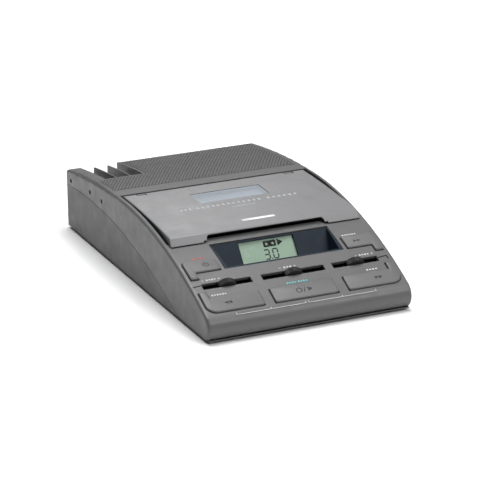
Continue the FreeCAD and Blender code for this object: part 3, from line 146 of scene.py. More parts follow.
def finish(name, colour, rough=0.5, roughVary=0.08, patch=38, patchTone=0.06, grain=0.35,
           grainTone=0.1, grainDepth=0.02, edge=0.5, edgeWearShadeTone=1.25, specular=0.4, coat=0.0,
           metallic=0.0, speck=0.0, stretch=(1, 1, 1), through=0.0, gapShade=0.0):
    # one moulded, painted or metal finish: broad patches, a fine grain, rounded edges that are lighter as
    # wear, and darker as painted shade where their tone is below one
    material = bpy.data.materials.new(name)
    material.use_nodes = True
    add, join = nodeTools(material)
    out = add("ShaderNodeOutputMaterial")
    shader = add("ShaderNodeBsdfPrincipled")
    join(shader.outputs[0], out.inputs["Surface"])
    coordinates = add("ShaderNodeTexCoord").outputs["Object"]
    scale = add("ShaderNodeMapping")
    scale.inputs["Scale"].default_value = stretch
    join(coordinates, scale.inputs["Vector"])
    place = scale.outputs["Vector"]
    patches = remap(add, join, noise(add, join, place, patch, 3), 0.3, 0.7, 0, 1)
    grains = noise(add, join, place, grain, 3, 0.6)
    base = blendColour(add, join, patches, tone(colour, 1 - patchTone), tone(colour, 1 + patchTone))
    fine = remap(add, join, grains, 0.35, 0.65, 0, 1)
    dark = blendColour(add, join, fine, tone(colour, 1 - grainTone), tone(colour, 1 + grainTone))
    half = add("ShaderNodeMix")
    half.data_type = "RGBA"
    half.inputs["Factor"].default_value = 0.5
    join(base, half.inputs["A"])
    join(dark, half.inputs["B"])
    result = half.outputs["Result"]
    bump = add("ShaderNodeBump")
    bump.inputs["Strength"].default_value = 0.6
    bump.inputs["Distance"].default_value = grainDepth * mm
    join(grains, bump.inputs["Height"])
    if edge:
        bevel = add("ShaderNodeBevel")
        bevel.samples = 4
        bevel.inputs["Radius"].default_value = edge * mm
        join(bevel.outputs["Normal"], bump.inputs["Normal"])
        geometry = add("ShaderNodeNewGeometry")
        dot = add("ShaderNodeVectorMath")
        dot.operation = "DOT_PRODUCT"
        join(bevel.outputs["Normal"], dot.inputs[0])
        join(geometry.outputs["Normal"], dot.inputs[1])
        # rounded edges: lighter as wear where the edge tone is above one, darker as painted shade where it
        # is below one
        wearAndShade = remap(add, join, dot.outputs["Value"], 0.98, 0.80, 0, 0.7)
        edgeBreakup = remap(add, join, noise(add, join, place, 5, 4), 0.35, 0.65, 0.35, 1)
        patchy = multiply(add, join, wearAndShade, edgeBreakup)
        result = blendColour(add, join, patchy, result, tone(colour, edgeWearShadeTone))
    if speck:
        # metallic flecks in the moulding
        cells = add("ShaderNodeTexVoronoi")
        cells.inputs["Scale"].default_value = 1000 / 0.45
        join(place, cells.inputs["Vector"])
        flecks = remap(add, join, cells.outputs["Distance"], 0.16, 0.05, 0, speck)
        result = blendColour(add, join, flecks, result, tone(colour, 2.2))
    if gapShade:
        # painted shade: the colour darkens in narrow gaps and hollows where other faces lie within this
        # many mm
        hollow = add("ShaderNodeAmbientOcclusion")
        hollow.samples = 6
        hollow.inputs["Distance"].default_value = gapShade * mm
        openness = remap(add, join, hollow.outputs["AO"], 0.25, 0.72, 0, 1)
        result = blendColour(add, join, openness, tone(colour, 0.06), result)
    join(result, shader.inputs["Base Color"])
    join(bump.outputs["Normal"], shader.inputs["Normal"])
    smears = noise(add, join, place, 9, 4)
    roughness = remap(add, join, smears, 0.3, 0.7, rough - roughVary, rough + roughVary)
    join(roughness, shader.inputs["Roughness"])
    shader.inputs["Metallic"].default_value = metallic
    shader.inputs["Specular IOR Level"].default_value = specular
    shader.inputs["Coat Weight"].default_value = coat
    shader.inputs["Coat Roughness"].default_value = 0.12
    shader.inputs["IOR"].default_value = 1.5
    if through:
        shader.inputs["Alpha"].default_value = 1 - through
    return material


# the gap reach on several finishes below, in mm, sets the painted shade that darkens the gaps between parts
finishes = {
    "housing_grey": finish("housingMoulding", (0.105, 0.105, 0.106), rough=0.4, patchTone=0.03,
                           speck=0.25, edge=0.7, gapShade=2.2),
    "base_grey": finish("baseMoulding", (0.105, 0.106, 0.106), rough=0.5, patchTone=0.03, speck=0.25,
                        edge=0.5, gapShade=2.2),
    "lid_grey": finish("lidMoulding", (0.198, 0.198, 0.203), rough=0.4, patchTone=0.015, speck=0.2,
                       edge=0.6, gapShade=5),
    # the keys' edges are darkened: painted shade for the dark outlines of the gaps around them
    "key_grey": finish("keyMoulding", (0.118, 0.116, 0.117), rough=0.42, grain=0.25, grainDepth=0.008,
                       edge=0.4, edgeWearShadeTone=0.5, gapShade=1.2),
    "knob_dark": finish("knobMoulding", (0.012, 0.0122, 0.013), rough=0.5, grain=0.22, edge=0,
                        specular=0.2, gapShade=1.2),
    "insert_dark": finish("bayMoulding", (0.11, 0.11, 0.112), rough=0.5, speck=0.2, edge=0.4,
                          gapShade=6),
    "bezel_navy": finish("smokedPanel", (0.009, 0.016, 0.026), rough=0.45, roughVary=0.05, grainTone=0.04,
                         grainDepth=0.001, edge=0, specular=0.15),
    "screen_green": finish("crystalGlass", (0.27, 0.38, 0.29), rough=0.25, roughVary=0.04, patchTone=0.03,
                           grainTone=0.02, grainDepth=0.0008, edge=0, coat=0.3),
    "clear_window": finish("clearPane", (0.52, 0.57, 0.63), rough=0.1, roughVary=0.03, patchTone=0.03,
                           grainTone=0.03, grainDepth=0.0002, edge=0, coat=0.5, through=0.5),
    "cassette_grey": finish("cassetteShell", (0.03, 0.032, 0.036), rough=0.35),
    "label_paper": finish("labelPaper", (0.30, 0.36, 0.42), rough=0.6, grain=0.5, edge=0),
    "reel_white": finish("reelMoulding", (0.75, 0.74, 0.70), rough=0.35),
    "tape_brown": finish("magneticTape", (0.03, 0.016, 0.011), rough=0.18, edge=0),
    "steel": finish("platedSteel", (0.52, 0.52, 0.52), rough=0.3, metallic=1.0,
                    stretch=(1, 12, 1), edge=0.2),
    "brass": finish("turnedBrass", (0.55, 0.38, 0.13), rough=0.28, metallic=1.0, edge=0.2),
    "rubber_black": finish("blackRubber", (0.018, 0.018, 0.018), rough=0.78, specular=0.25,
                           edge=0.5, edgeWearShadeTone=1.6),
    "dome_rubber": finish("siliconeRubber", (0.32, 0.32, 0.30), rough=0.6, edge=0),
    "tray_dark": finish("trayMoulding", (0.02, 0.02, 0.021), rough=0.55),
    "wheel_white": finish("acetalMoulding", (0.68, 0.67, 0.62), rough=0.4),
    "board_green": finish("boardLacquer", (0.012, 0.07, 0.025), rough=0.3, grain=0.8, edge=0.2),
    "chip_black": finish("componentBody", (0.015, 0.015, 0.017), rough=0.5),
    "cable_grey": finish("flatCable", (0.25, 0.25, 0.27), rough=0.5, stretch=(8, 1, 1), edge=0),
    "socket_black": finish("socketBody", (0.012, 0.012, 0.012), rough=0.35, edge=0.3, edgeWearShadeTone=1.8),
    "speaker_steel": finish("paintedBasket", (0.02, 0.02, 0.02), rough=0.4),
    "cone_paper": finish("conePaper", (0.012, 0.012, 0.012), rough=0.85, grain=0.7, edge=0),
    "coil_tape": finish("windingTape", (0.25, 0.12, 0.02), rough=0.35),
}
inks = {
    "white": finish("whiteInk", (0.62, 0.62, 0.63), rough=0.45, edge=0, grain=0.3, grainTone=0.12),
    "red": finish("redInk", (0.50, 0.10, 0.09), rough=0.45, edge=0, grain=0.3, grainTone=0.12),
    "cyan": finish("cyanInk", (0.16, 0.52, 0.55), rough=0.45, edge=0, grain=0.3, grainTone=0.12),
    "grey": finish("greyInk", (0.035, 0.035, 0.036), rough=0.5, edge=0, grain=0.3, grainTone=0.12),
    "badge": finish("badgeInk", (0.9, 0.9, 0.9), rough=0.35, edge=0, grain=0.3, grainTone=0.05),
    "pale": finish("paleInk", (0.42, 0.43, 0.45), rough=0.4, edge=0, grain=0.3, grainTone=0.12),
    "crystal": finish("crystalMark", (0.008, 0.014, 0.01), rough=0.3, edge=0, grainTone=0.2),
    "paper": finish("paperPrint", (0.55, 0.62, 0.68), rough=0.6, edge=0),
    # painted shade for the lid's scoop and its side walls
    "scoop": finish("scoopShade", (0.022, 0.026, 0.028), rough=0.35, edge=0, grain=0.4),
    "void": finish("deepShadow", (0.006, 0.006, 0.006), rough=0.8, edge=0, specular=0.1),
}
for row in frame["record"]["subparts"]:
    held = frame["nodes"][row["node"]].data.materials
    held.clear()
    held.append(finishes[row["material_slot"]])
print("finishes made:", len(finishes) + len(inks))


# mesh tools (mm in, metres out)
def makeObject(name, mesh):
    data = bpy.data.meshes.new(name)
    mesh.to_mesh(data)
    mesh.free()
    made = bpy.data.objects.new(name, data)
    bpy.context.scene.collection.objects.link(made)
    return made


def makePiece(name, mesh, body, materials, replaces=(), sharpFrom=32):
    for face in mesh.faces:
        face.smooth = True
    for edge in mesh.edges:
        if len(edge.link_faces) == 2 and edge.calc_face_angle(0) > math.radians(sharpFrom):
            edge.smooth = False
    mesh.transform(Matrix.Scale(mm, 4))
    piece = makeObject(name, mesh)
    for material in materials:
        piece.data.materials.append(material)
    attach(piece, body)
    if replaces:
        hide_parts(*replaces)


def roundCorners(corners, steps=6):
    # corners as (x, y, radius), anticlockwise; returns the outline's points
    points = []
    count = len(corners)
    for index, (x, y, radius) in enumerate(corners):
        here = Vector((x, y))
        before = (Vector(corners[index - 1][:2]) - here).normalized()
        after = (Vector(corners[(index + 1) % count][:2]) - here).normalized()
        if radius <= 0:
            points.append(here)
            continue
        angle = before.angle(after)
        reach = radius / math.tan(angle / 2)
        centre = here + (before + after).normalized() * radius / math.sin(angle / 2)
        start = here + before * reach - centre
        end = here + after * reach - centre
        turn = start.angle_signed(end) * -1
        for step in range(steps + 1):
            spin = Matrix.Rotation(turn * step / steps, 2)
            points.append(centre + spin @ start)
    return points


def insetOutline(points, distance):
    # moves an anticlockwise outline inwards
    moved = []
    count = len(points)
    for index, here in enumerate(points):
        before = (here - points[index - 1]).normalized()
        after = (points[(index + 1) % count] - here).normalized()
        normals = Vector((-before.y, before.x)), Vector((-after.y, after.x))
        middle = normals[0] + normals[1]
        middle = middle.normalized() if middle.length > 1e-6 else normals[0]
        moved.append(here + middle * distance / max(0.35, middle.dot(normals[0])))
    return moved


def skin(mesh, rings, slot=0):
    # joins rings of points one after another and closes both ends
    loops = [[mesh.verts.new(point) for point in ring] for ring in rings]
    count = len(loops[0])
    faces = []
    for low, high in zip(loops, loops[1:]):
        for index in range(count):
            after = (index + 1) % count
            faces.append(mesh.faces.new((low[index], low[after], high[after], high[index])))
    faces.append(mesh.faces.new(list(reversed(loops[0]))))
    faces.append(mesh.faces.new(loops[-1]))
    for face in faces:
        face.material_index = slot


def addCap(mesh, place, outline, low, high, rounding, steps=4, slot=0):
    # a solid slab with a rounded top edge
    rings = [[place @ Vector((p.x, p.y, low)) for p in outline]]
    for step in range(steps + 1):
        angle = math.pi / 2 * step / steps
        inset = rounding * (1 - math.cos(angle))
        height = high - rounding + rounding * math.sin(angle)
        rings.append([place @ Vector((p.x, p.y, height)) for p in insetOutline(outline, inset)])
    skin(mesh, rings, slot=slot)


def addRod(mesh, place, x, y, radius, low, high, sides=20, slot=0):
    ring = [Vector((x + radius * math.cos(2 * math.pi * k / sides),
                    y + radius * math.sin(2 * math.pi * k / sides))) for k in range(sides)]
    addCap(mesh, place, ring, low, high, radius * 0.12, 2, slot)


def addBar(mesh, place, x, y, wide, deep, low, high, slot=0):
    # a small printed or raised bar
    corners = [(x - wide / 2, y - deep / 2), (x + wide / 2, y - deep / 2),
               (x + wide / 2, y + deep / 2), (x - wide / 2, y + deep / 2)]
    skin(mesh, [[place @ Vector((*corner, z)) for corner in corners] for z in (low, high)], slot)


def addStroke(mesh, place, points, wide, low, high, slot=0, closed=False):
    # a printed line of even width through the points
    line = [Vector(point) for point in points]
    left, right = [], []
    count = len(line)
    for index, here in enumerate(line):
        before = line[index - 1] if index or closed else here
        after = line[(index + 1) % count] if index < count - 1 or closed else here
        arrive = (here - before).normalized() if (here - before).length else (after - here).normalized()
        leave = (after - here).normalized() if (after - here).length else arrive
        middle = (arrive + leave).normalized()
        side = Vector((-middle.y, middle.x)) * wide / 2 / max(0.4, middle.dot(arrive))
        left.append(here + side)
        right.append(here - side)
    spans = range(count if closed else count - 1)
    if not closed:
        outline = right + left[::-1]
        skin(mesh, [[place @ Vector((p.x, p.y, z)) for p in outline] for z in (low, high)], slot)
        return
    rings = [(right, low), (right, high), (left, high), (left, low)]
    loops = [[mesh.verts.new(place @ Vector((p.x, p.y, z))) for p in ring] for ring, z in rings]
    for first in range(4):
        for index in spans:
            a, b = loops[first], loops[(first + 1) % 4]
            after = (index + 1) % count
            mesh.faces.new((a[index], a[after], b[after], b[index])).material_index = slot


def bend(place):
    # lets printed work follow the arch of the panel, which curves away from its row's plane
    class Bent:
        def __matmul__(self, point):
            flat = place @ Vector((point.x, point.y, 0))
            return onArch(flat.x, flat.y, point.z)
    return Bent()


# lid
lid = {"topHeight": 50.1, "radius": 850, "hingeRound": 1.8, "hingeFromBack": 94.4, "length": 80.7,
       "run": 3.9, "footGap": 0.7, "halfWidth": 66.2, "draft": 1.2, "wall": 2.0, "softEdge": 0.9,
       "scoopHalf": 40.5, "scoopRound": 2.2, "scoopLip": 1.25, "windowWide": 49.5, "windowDeep": 18.3,
       "windowFromHinge": 23.6, "knuckleAt": 53, "knuckleWide": 6.8,
       "lowEdge": 39.5, "backBeam": 4, "frontBeam": 6.4}
hingeY = casing["back"] - lid["hingeFromBack"]
hingeZ = lid["topHeight"] - lid["hingeRound"]
lidBack = hingeY + lid["hingeRound"]
lidFront = lidBack - lid["length"]
lidFoot = lidFront - lid["run"]


def lidZ(y, depth=0):
    radius = lid["radius"] - depth
    return lid["topHeight"] - lid["radius"] + math.sqrt(radius ** 2 - (y - hingeY) ** 2)


def prismX(name, outline, halfWidth):
    # a closed solid with a side view, used to cut the lid
    mesh = bmesh.new()
    skin(mesh, [[Vector((x, y, z)) * mm for y, z in outline] for x in (-halfWidth, halfWidth)])
    bmesh.ops.recalc_face_normals(mesh, faces=mesh.faces)
    return makeObject(name, mesh)


def blockTool(name, low, high, place=None):
    mesh = bmesh.new()
    corners = [(low[0], low[1]), (high[0], low[1]), (high[0], high[1]), (low[0], high[1])]
    place = place or Matrix.Identity(4)
    skin(mesh, [[(place @ Vector((x, y, z))) * mm for x, y in corners] for z in (low[2], high[2])])
    bmesh.ops.recalc_face_normals(mesh, faces=mesh.faces)
    return makeObject(name, mesh)


def carve(piece, tools):
    # cuts the tools out of a piece and applies it, so that only the finished mesh is left
    for tool in tools:
        cutter = piece.modifiers.new(tool.name, "BOOLEAN")
        cutter.operation = "DIFFERENCE"
        cutter.solver = "EXACT"
        cutter.object = tool
    shaped = piece.evaluated_get(bpy.context.evaluated_depsgraph_get())
    piece.data = bpy.data.meshes.new_from_object(shaped)
    piece.modifiers.clear()
    for tool in tools:
        bpy.data.objects.remove(tool)


def smoothShade(piece, sharpFrom=32):
    mesh = bmesh.new()
    mesh.from_mesh(piece.data)
    bmesh.ops.remove_doubles(mesh, verts=mesh.verts, dist=1e-7)
    for face in mesh.faces:
        face.smooth = True
    for edge in mesh.edges:
        folded = len(edge.link_faces) == 2 and edge.calc_face_angle(0) > math.radians(sharpFrom)
        edge.smooth = not folded
    mesh.to_mesh(piece.data)
    mesh.free()


def makeLid():
    half, draft = lid["halfWidth"], lid["draft"]
    footZ = archZ(lidFoot) + lid["footGap"]
    steps = [hingeY - (hingeY - lidFront) * k / 24 for k in range(25)]
    outline = [(y, lidZ(y)) for y in steps]
    # under side: along the panel, down to the lower edge and back up to the hinge
    outline += [(lidFoot, footZ), (lidFront + 0.7, archZ(lidFront + 0.7) + lid["footGap"]),
                (lidFront + 1.2, archZ(lidFront + 1) + 0.3), (lidFront + 1.4, lid["lowEdge"]),
                (hingeY - 7, hingeZ - 4.6), (hingeY, hingeZ - lid["hingeRound"])]
    outline += [(hingeY + lid["hingeRound"] * math.sin(math.radians(a)),
                 hingeZ - lid["hingeRound"] * math.cos(math.radians(a))) for a in range(15, 180, 15)]
    mesh = bmesh.new()

    def sideX(z):
        rise = max(0, min(1, (z - footZ) / (lid["topHeight"] + 0.5 - footZ)))
        return half - draft * rise

    skin(mesh, [[Vector((sign * sideX(z), y, z)) * mm for y, z in outline] for sign in (1, -1)])
    bmesh.ops.recalc_face_normals(mesh, faces=mesh.faces)

    def isTopSide(edge):
        a, b = (v.co / mm for v in edge.verts)
        middle = (a + b) / 2
        return abs(middle.x) > half - draft - 1 and middle.z > lidZ(middle.y) - 0.3 and abs(a.x - b.x) < 1

    def isFrontTop(edge):
        middle = (edge.verts[0].co + edge.verts[1].co) / 2 / mm
        return abs(middle.x) < 5 and abs(middle.y - lidFront) < 0.2

    def isCorner(edge):
        a, b = (v.co / mm for v in edge.verts)
        ys = sorted((a.y, b.y))
        onSide = abs(a.x) > half - 3 and a.x * b.x > 0
        return onSide and abs(ys[0] - lidFoot) < 0.1 and abs(ys[1] - lidFront) < 0.1

    soft = [edge for edge in mesh.edges if isTopSide(edge) or isFrontTop(edge) or isCorner(edge)]
    bmesh.ops.bevel(mesh, geom=soft, offset=lid["softEdge"] * mm, segments=4, profile=0.5, affect="EDGES")
    piece = makeObject("cassetteLid", mesh)
    wall = lid["wall"]
    beam, frontWall = hingeY - lid["backBeam"], lidFront + lid["frontBeam"]
    steps = [beam - (beam - frontWall) * k / 12 for k in range(13)]
    hollow = prismX("lidHollow", [(y, lidZ(y, wall)) for y in steps] + [(frontWall, 30), (beam, 30)],
                    half - draft - wall)
    scoopTop = lidZ(lidFront) - lid["scoopLip"]
    mesh = bmesh.new()
    halfScoop, curve = lid["scoopHalf"], lid["scoopRound"]
    mouth = roundCorners([(-halfScoop - 3, 30, 0), (halfScoop + 3, 30, 0), (halfScoop, scoopTop, curve),
                          (-halfScoop, scoopTop, curve)], 5)
    rings = []
    # the scoop narrows and drops towards its back
    for y, grow, drop in ((lidFoot - 2, 0.3, 0), (lidFront + 2.0, 0, 0), (lidFront + 4.4, -1.2, 1.6)):
        widen = 1 + grow / halfScoop
        rings.append([Vector((p.x * widen, y, p.y - (drop if p.y > 34 else 0))) * mm for p in mouth])
    skin(mesh, rings)
    bmesh.ops.recalc_face_normals(mesh, faces=mesh.faces)
    scoop = makeObject("scoopTool", mesh)
    windowY = hingeY - lid["windowFromHinge"]
    lean = math.asin((hingeY - windowY) / lid["radius"])
    windowPlace = Matrix.Translation((0, windowY, lidZ(windowY))) @ Matrix.Rotation(lean, 4, "X")
    window = blockTool("windowTool", (-lid["windowWide"] / 2, -lid["windowDeep"] / 2, -6),
                       (lid["windowWide"] / 2, lid["windowDeep"] / 2, 6), windowPlace)
    notches = [blockTool("notchTool", (side * lid["knuckleAt"] - lid["knuckleWide"] / 2, hingeY - 2.9, 30),
                         (side * lid["knuckleAt"] + lid["knuckleWide"] / 2, lidBack + 1, 60))
               for side in (-1, 1)]
    trim = blockTool("trimTool", (-halfScoop - 3, lidFoot - 6, 30),
                     (halfScoop + 3, lidFront + 7, archZ(lidFront) + 0.6))
    carve(piece, [hollow, scoop, window, trim, *notches])
    smoothShade(piece)
    piece.data.materials.clear()
    piece.data.materials.append(finishes["lid_grey"])
    piece.data.materials.append(inks["scoop"])
    # painted shade: the scoop's inner faces and the lid's side faces are made dark for the shade in the
    # scoop and in the gap beside the lid
    slope = Vector((lidFront - lidFoot, lidZ(lidFront) - footZ)).normalized()
    for face in piece.data.polygons:
        x, y, z = face.center / mm
        inside = (y - lidFoot) * slope.y - (z - footZ) * slope.x
        nearScoop = abs(x) < halfScoop + 2.6 and y < lidFront + 5.2 and z < scoopTop + 0.3
        sideWall = abs(face.normal.x) > 0.8 and abs(x) > lid["halfWidth"] - lid["draft"] - 1
        if (nearScoop and inside > 0.35) or sideWall:
            face.material_index = 1
    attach(piece, "lid")
    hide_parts("cassette_lid")
    return windowPlace


windowPlace = makeLid()
print("lid made")

# printing on the lid: plain blocks and a plain bar
lidPrint = {"lineY": -16.3, "groups": [(-42.5, -33.5, 3), (-31.5, 15.5, 13), (18.5, 41.5, 6)], "tall": 3.0,
            "subLine": (-7.6, 8.8, 9), "subY": -22.2, "subTall": 1.6, "badge": (0.2, 23, -45.4, 2.7)}


class OnLid:
    # points of the lid's top: x across, y from the window's line towards the hinge
    def __matmul__(self, point):
        y = hingeY - lid["windowFromHinge"] + point.y
        return Vector((point.x, y, lidZ(y) + point.z))


def makeLidPrint():
    mesh = bmesh.new()
    onLid = OnLid()

    def blocks(left, right, count, y, tall):
        # a row of plain blocks in the place of a word
        step = (right - left) / count
        for k in range(count):
            deep = tall * (0.85 if k % 2 else 1)
            addBar(mesh, onLid, left + step * (k + 0.5), y, step * 0.62, deep, -0.02, 0.03)

    for left, right, count in lidPrint["groups"]:
        blocks(left, right, count, lidPrint["lineY"], lidPrint["tall"])
    blocks(*lidPrint["subLine"], lidPrint["subY"], lidPrint["subTall"])
    centre, wide, y, deep = lidPrint["badge"]
    addBar(mesh, onLid, centre, y, wide, deep, -0.02, 0.06, 1)
    makePiece("lidPrint", mesh, "lid", [inks["pale"], inks["badge"]])


makeLidPrint()


# keys
keyStyle = {"proud": 1.2, "under": -2.65, "rounding": 0.95, "flange": 0.9, "flangeThick": 0.9,
            "stemRadius": 2, "stemEnd": -8.5, "markLift": 0.04}
rows = {"upper": 45.25, "slider": 27.65, "lower": 11.75}
keyShapes = {
    "power_key": {"row": "upper", "side": -1, "stem": -55},
    "search_key": {"row": "upper", "side": 1, "stem": 55},
    "rewind_key": {"row": "lower", "side": -1, "stem": -48},
    "wind_key": {"row": "lower", "side": 1, "stem": 48},
    "stop_play_key": {"row": "lower", "side": 0, "stem": 0},
}


def keyOutline(row, side, grow=0):
    if side == 0:
        corners = [(-21.7, -6, 1.6), (21.7, -6, 1.6), (21.7, 5.9, 1.1), (-21.7, 5.9, 1.1)]
    elif row == "upper":
        corners = [(43.9, -5.8, 1.3), (60.9, -5.8, 0.5), (60.9, -11.8, 0.8), (66.5, -11.8, 0.8),
                   (66.5, 6, 3.2), (43.9, 6, 1.1)]
    else:
        corners = [(28.8, -6, 1.3), (66.8, -6, 6.5), (66.8, 12.2, 0.8), (61.5, 12.2, 0.8),
                   (61.5, 5.9, 0.5), (28.8, 5.9, 1.1)]
    if side < 0:
        corners = [(-x, y, r) for x, y, r in reversed(corners)]
    outline = roundCorners(corners)
    return insetOutline(outline, -grow) if grow else outline


def addArrow(mesh, place, x, y, size, way, low, high, slot=0):
    # a filled triangle that points left or right
    reach, spread = way * size * 0.5, size * 0.55
    corners = [(x - reach, y - spread), (x + reach, y), (x - reach, y + spread)]
    if way < 0:
        corners.reverse()
    skin(mesh, [[place @ Vector((*corner, z)) for corner in corners] for z in (low, high)], slot)


def addRing(mesh, place, x, y, radius, wide, low, high, slot=0, start=0, sweep=360):
    count = 20
    points = [(x + radius * math.cos(math.radians(start + sweep * k / count)),
               y + radius * math.sin(math.radians(start + sweep * k / count)))
              for k in range(count if sweep == 360 else count + 1)]
    addStroke(mesh, place, points, wide, low, high, slot, closed=sweep == 360)


def addKeyMark(mesh, place, name):
    low, high = keyStyle["proud"] - 0.02, keyStyle["proud"] + keyStyle["markLift"]
    side = keyShapes[name]["side"]
    if name == "power_key":
        addRing(mesh, place, -52.1, 0, 1.75, 0.42, low, high, 1, 125, 290)
        addStroke(mesh, place, [(-52.1, -0.2), (-52.1, 2.5)], 0.42, low, high, 1)
    elif name == "stop_play_key":
        addRing(mesh, place, -3.5, 0.3, 1.8, 0.55, low, high, 1)
        addStroke(mesh, place, [(-0.8, -1.9), (1.2, 2.4)], 0.42, low, high, 1)
        addArrow(mesh, place, 4.1, 0.3, 3, 1, low, high, 1)
    elif name == "search_key":
        for x in (51.4, 53.9):
            addArrow(mesh, place, x, -0.3, 2.2, 1, low, high, 1)
    else:
        for x in (side * 50.3, side * 52.9):
            addArrow(mesh, place, x, 0.4, 2.4, side, low, high, 1)


def makeKey(name):
    shape = keyShapes[name]
    place = onPanel(rows[shape["row"]])
    mesh = bmesh.new()
    outline = keyOutline(shape["row"], shape["side"])
    under = keyStyle["under"]
    addCap(mesh, place, outline, under, keyStyle["proud"], keyStyle["rounding"], 5)
    flange = keyOutline(shape["row"], shape["side"], keyStyle["flange"])
    addCap(mesh, place, flange, under - keyStyle["flangeThick"] + 0.1, under + 0.1, 0.15, 2)
    addRod(mesh, place, shape["stem"], 0, keyStyle["stemRadius"], keyStyle["stemEnd"], under - 0.5)
    addKeyMark(mesh, place, name)
    makePiece(name + "Cap", mesh, name, [finishes["key_grey"], inks["grey"]], [name])


for keyName in keyShapes:
    makeKey(keyName)
print("keys made")

# slider knobs
knobStyle = {"half": 5.8, "reach": 2.2, "radius": 7.2, "ribs": 15, "ribDepth": 0.16, "endRound": 0.55,
             "floor": -3, "stem": (1.5, 0.8, -8)}
knobs = {"speed_slider_knob": -45.2, "volume_slider_knob": 0, "tone_slider_knob": 43.2}


def makeKnob(name, centre):
    place = onPanel(rows["slider"])
    half, radius = knobStyle["half"], knobStyle["radius"]
    sink = math.sqrt(radius ** 2 - half ** 2)
    spread = math.asin(half / radius)
    mesh = bmesh.new()
    top = []
    perRib = 4
    total = knobStyle["ribs"] * perRib
    for k in range(total + 1):
        angle = spread - 2 * spread * k / total
        groove = knobStyle["ribDepth"] * (0.5 - 0.5 * math.cos(2 * math.pi * k / perRib))
        top.append((math.sin(angle) * (radius - groove), math.cos(angle) * (radius - groove) - sink))
    profile = [(-half, knobStyle["floor"]), (half, knobStyle["floor"])] + top
    rings = []
    for y, inset in ((-1, 0.55), (-0.93, 0.2), (-0.8, 0), (0.8, 0), (0.93, 0.2), (1, 0.55)):
        ring = []
        for x, z in profile:
            pull = inset * knobStyle["endRound"] * 1.6
            away = Vector((x, z + 1))
            away = away * (1 - pull / max(away.length, 1)) if z > -2 else away
            ring.append(place @ Vector((centre + away.x, y * knobStyle["reach"], away.y - 1)))
        rings.append(ring)
    skin(mesh, rings)
    wide, deep, low = knobStyle["stem"]
    addBar(mesh, place, centre, 0, wide * 2, deep * 2, low, -2.8)
    bmesh.ops.recalc_face_normals(mesh, faces=mesh.faces)
    makePiece(name + "Cap", mesh, name, [finishes["knob_dark"]], [name], 28)


for knobName, knobCentre in knobs.items():
    makeKnob(knobName, knobCentre)
print("knobs made")

# printed marks on the panel
panelPrint = {"lift": 0.03, "bracketWide": 0.35, "bracketRow": 3.0, "labelTall": 1.35}


def makePanelPrint():
    mesh = bmesh.new()
    lift, wide = panelPrint["lift"], panelPrint["bracketWide"]
    front = bend(onPanel(panelPrint["bracketRow"]))
    # two brackets under the lower keys, each with a short tick
    for left, right, tick in ((-49.4, -2.7, -26.3), (-0.7, 45.7, 22.6)):
        count = 12
        along = [(left + (right - left) * k / count, 0) for k in range(count + 1)]
        addStroke(mesh, front, [(left, 1.7), *along, (right, 1.7)], wide, -0.03, lift)
        addBar(mesh, front, tick, 0.6, 0.5, 1.3, -0.03, lift)

    def word(place, left, right, y, count, ink=0, tall=panelPrint["labelTall"]):
        # a row of plain blocks in the place of a label
        step = (right - left) / count
        for k in range(count):
            deep = tall * (0.8 if k % 2 else 1)
            addBar(mesh, place, left + step * (k + 0.5), y, step * 0.66, deep, -0.03, lift, ink)

    def sign(place, x, y, plus):
        addBar(mesh, place, x, y, 1.3, 0.4, -0.03, lift)
        if plus:
            addBar(mesh, place, x, y, 0.4, 1.3, -0.03, lift + 0.004)

    upper, middle, lower = (bend(onPanel(rows[row])) for row in ("upper", "slider", "lower"))
    word(upper, -58.4, -49.4, 8.2, 5, 1)
    word(upper, 45.6, 56, 8, 6)
    word(lower, -8.6, -1.6, 8.7, 4, 2, 1.5)
    word(lower, -0.8, 6.2, 8.7, 4, 2, 1.5)
    word(lower, -59.4, -48.8, 8.9, 6)
    word(lower, 46.6, 55, 8.7, 4)
    for left, right, y, count in ((-57.6, -50.6, 5.4, 4), (-4.8, 1.4, 5.6, 3), (48, 55.4, 5.4, 4)):
        word(middle, left, right, y, count)
        sign(middle, left - 2.1, y, False)
        sign(middle, right + 1.9, y, True)
    makePiece("panelPrint", mesh, "housing", [inks["white"], inks["red"], inks["cyan"]])


makePanelPrint()


# thin grooves that lead off the slots at the panel's edges, drawn as flat dark strokes of painted shade
def makeGrooves():
    mesh = bmesh.new()
    middle = bend(onPanel(rows["slider"]))
    for line in ([(-67.6, 0.9), (-64.9, 1.2), (-62.3, 1.4)],
                 [(59.5, 0.4), (62.5, 0.9), (65.6, 1.3), (65.9, -1.6)]):
        addStroke(mesh, middle, line, 0.8, -0.04, 0.03)
    makePiece("panelGrooves", mesh, "housing", [inks["void"]])


makeGrooves()

# display: liquid-crystal marks
display = {"fromLid": 3.0, "tilt": 52, "depth": -1.6, "lift": 0.04,
           "iconAt": (-0.4, -4.2), "iconSize": (8.8, 4.2), "hole": 0.8, "playAt": (6.9, -4.1),
           "digitsAt": (-3.9, -11.2), "digitStep": 5.9, "digitWide": 3.3, "digitTall": 6.3, "stroke": 0.8}
displayTop = lidFoot - display["fromLid"]
displayTurn = Matrix.Rotation(math.radians(display["tilt"]), 4, "X")
displayPlace = Matrix.Translation((0, displayTop, archZ(displayTop))) @ displayTurn


def addDigit(mesh, place, x, y, lit, low, high):
    # seven bars: a top, b and c right, d bottom, e and f left, g middle
    wide, tall, stroke = display["digitWide"], display["digitTall"], display["stroke"]
    spots = {"a": (0, tall / 2), "g": (0, 0), "d": (0, -tall / 2), "b": (wide / 2, tall / 4),
             "c": (wide / 2, -tall / 4), "f": (-wide / 2, tall / 4), "e": (-wide / 2, -tall / 4)}
    for bar in lit:
        dx, dy = spots[bar]
        flat = bar in "agd"
        size = (wide - stroke * 0.6, stroke) if flat else (stroke, tall / 2 - stroke * 0.9)
        addBar(mesh, place, x + dx, y + dy, *size, low, high)


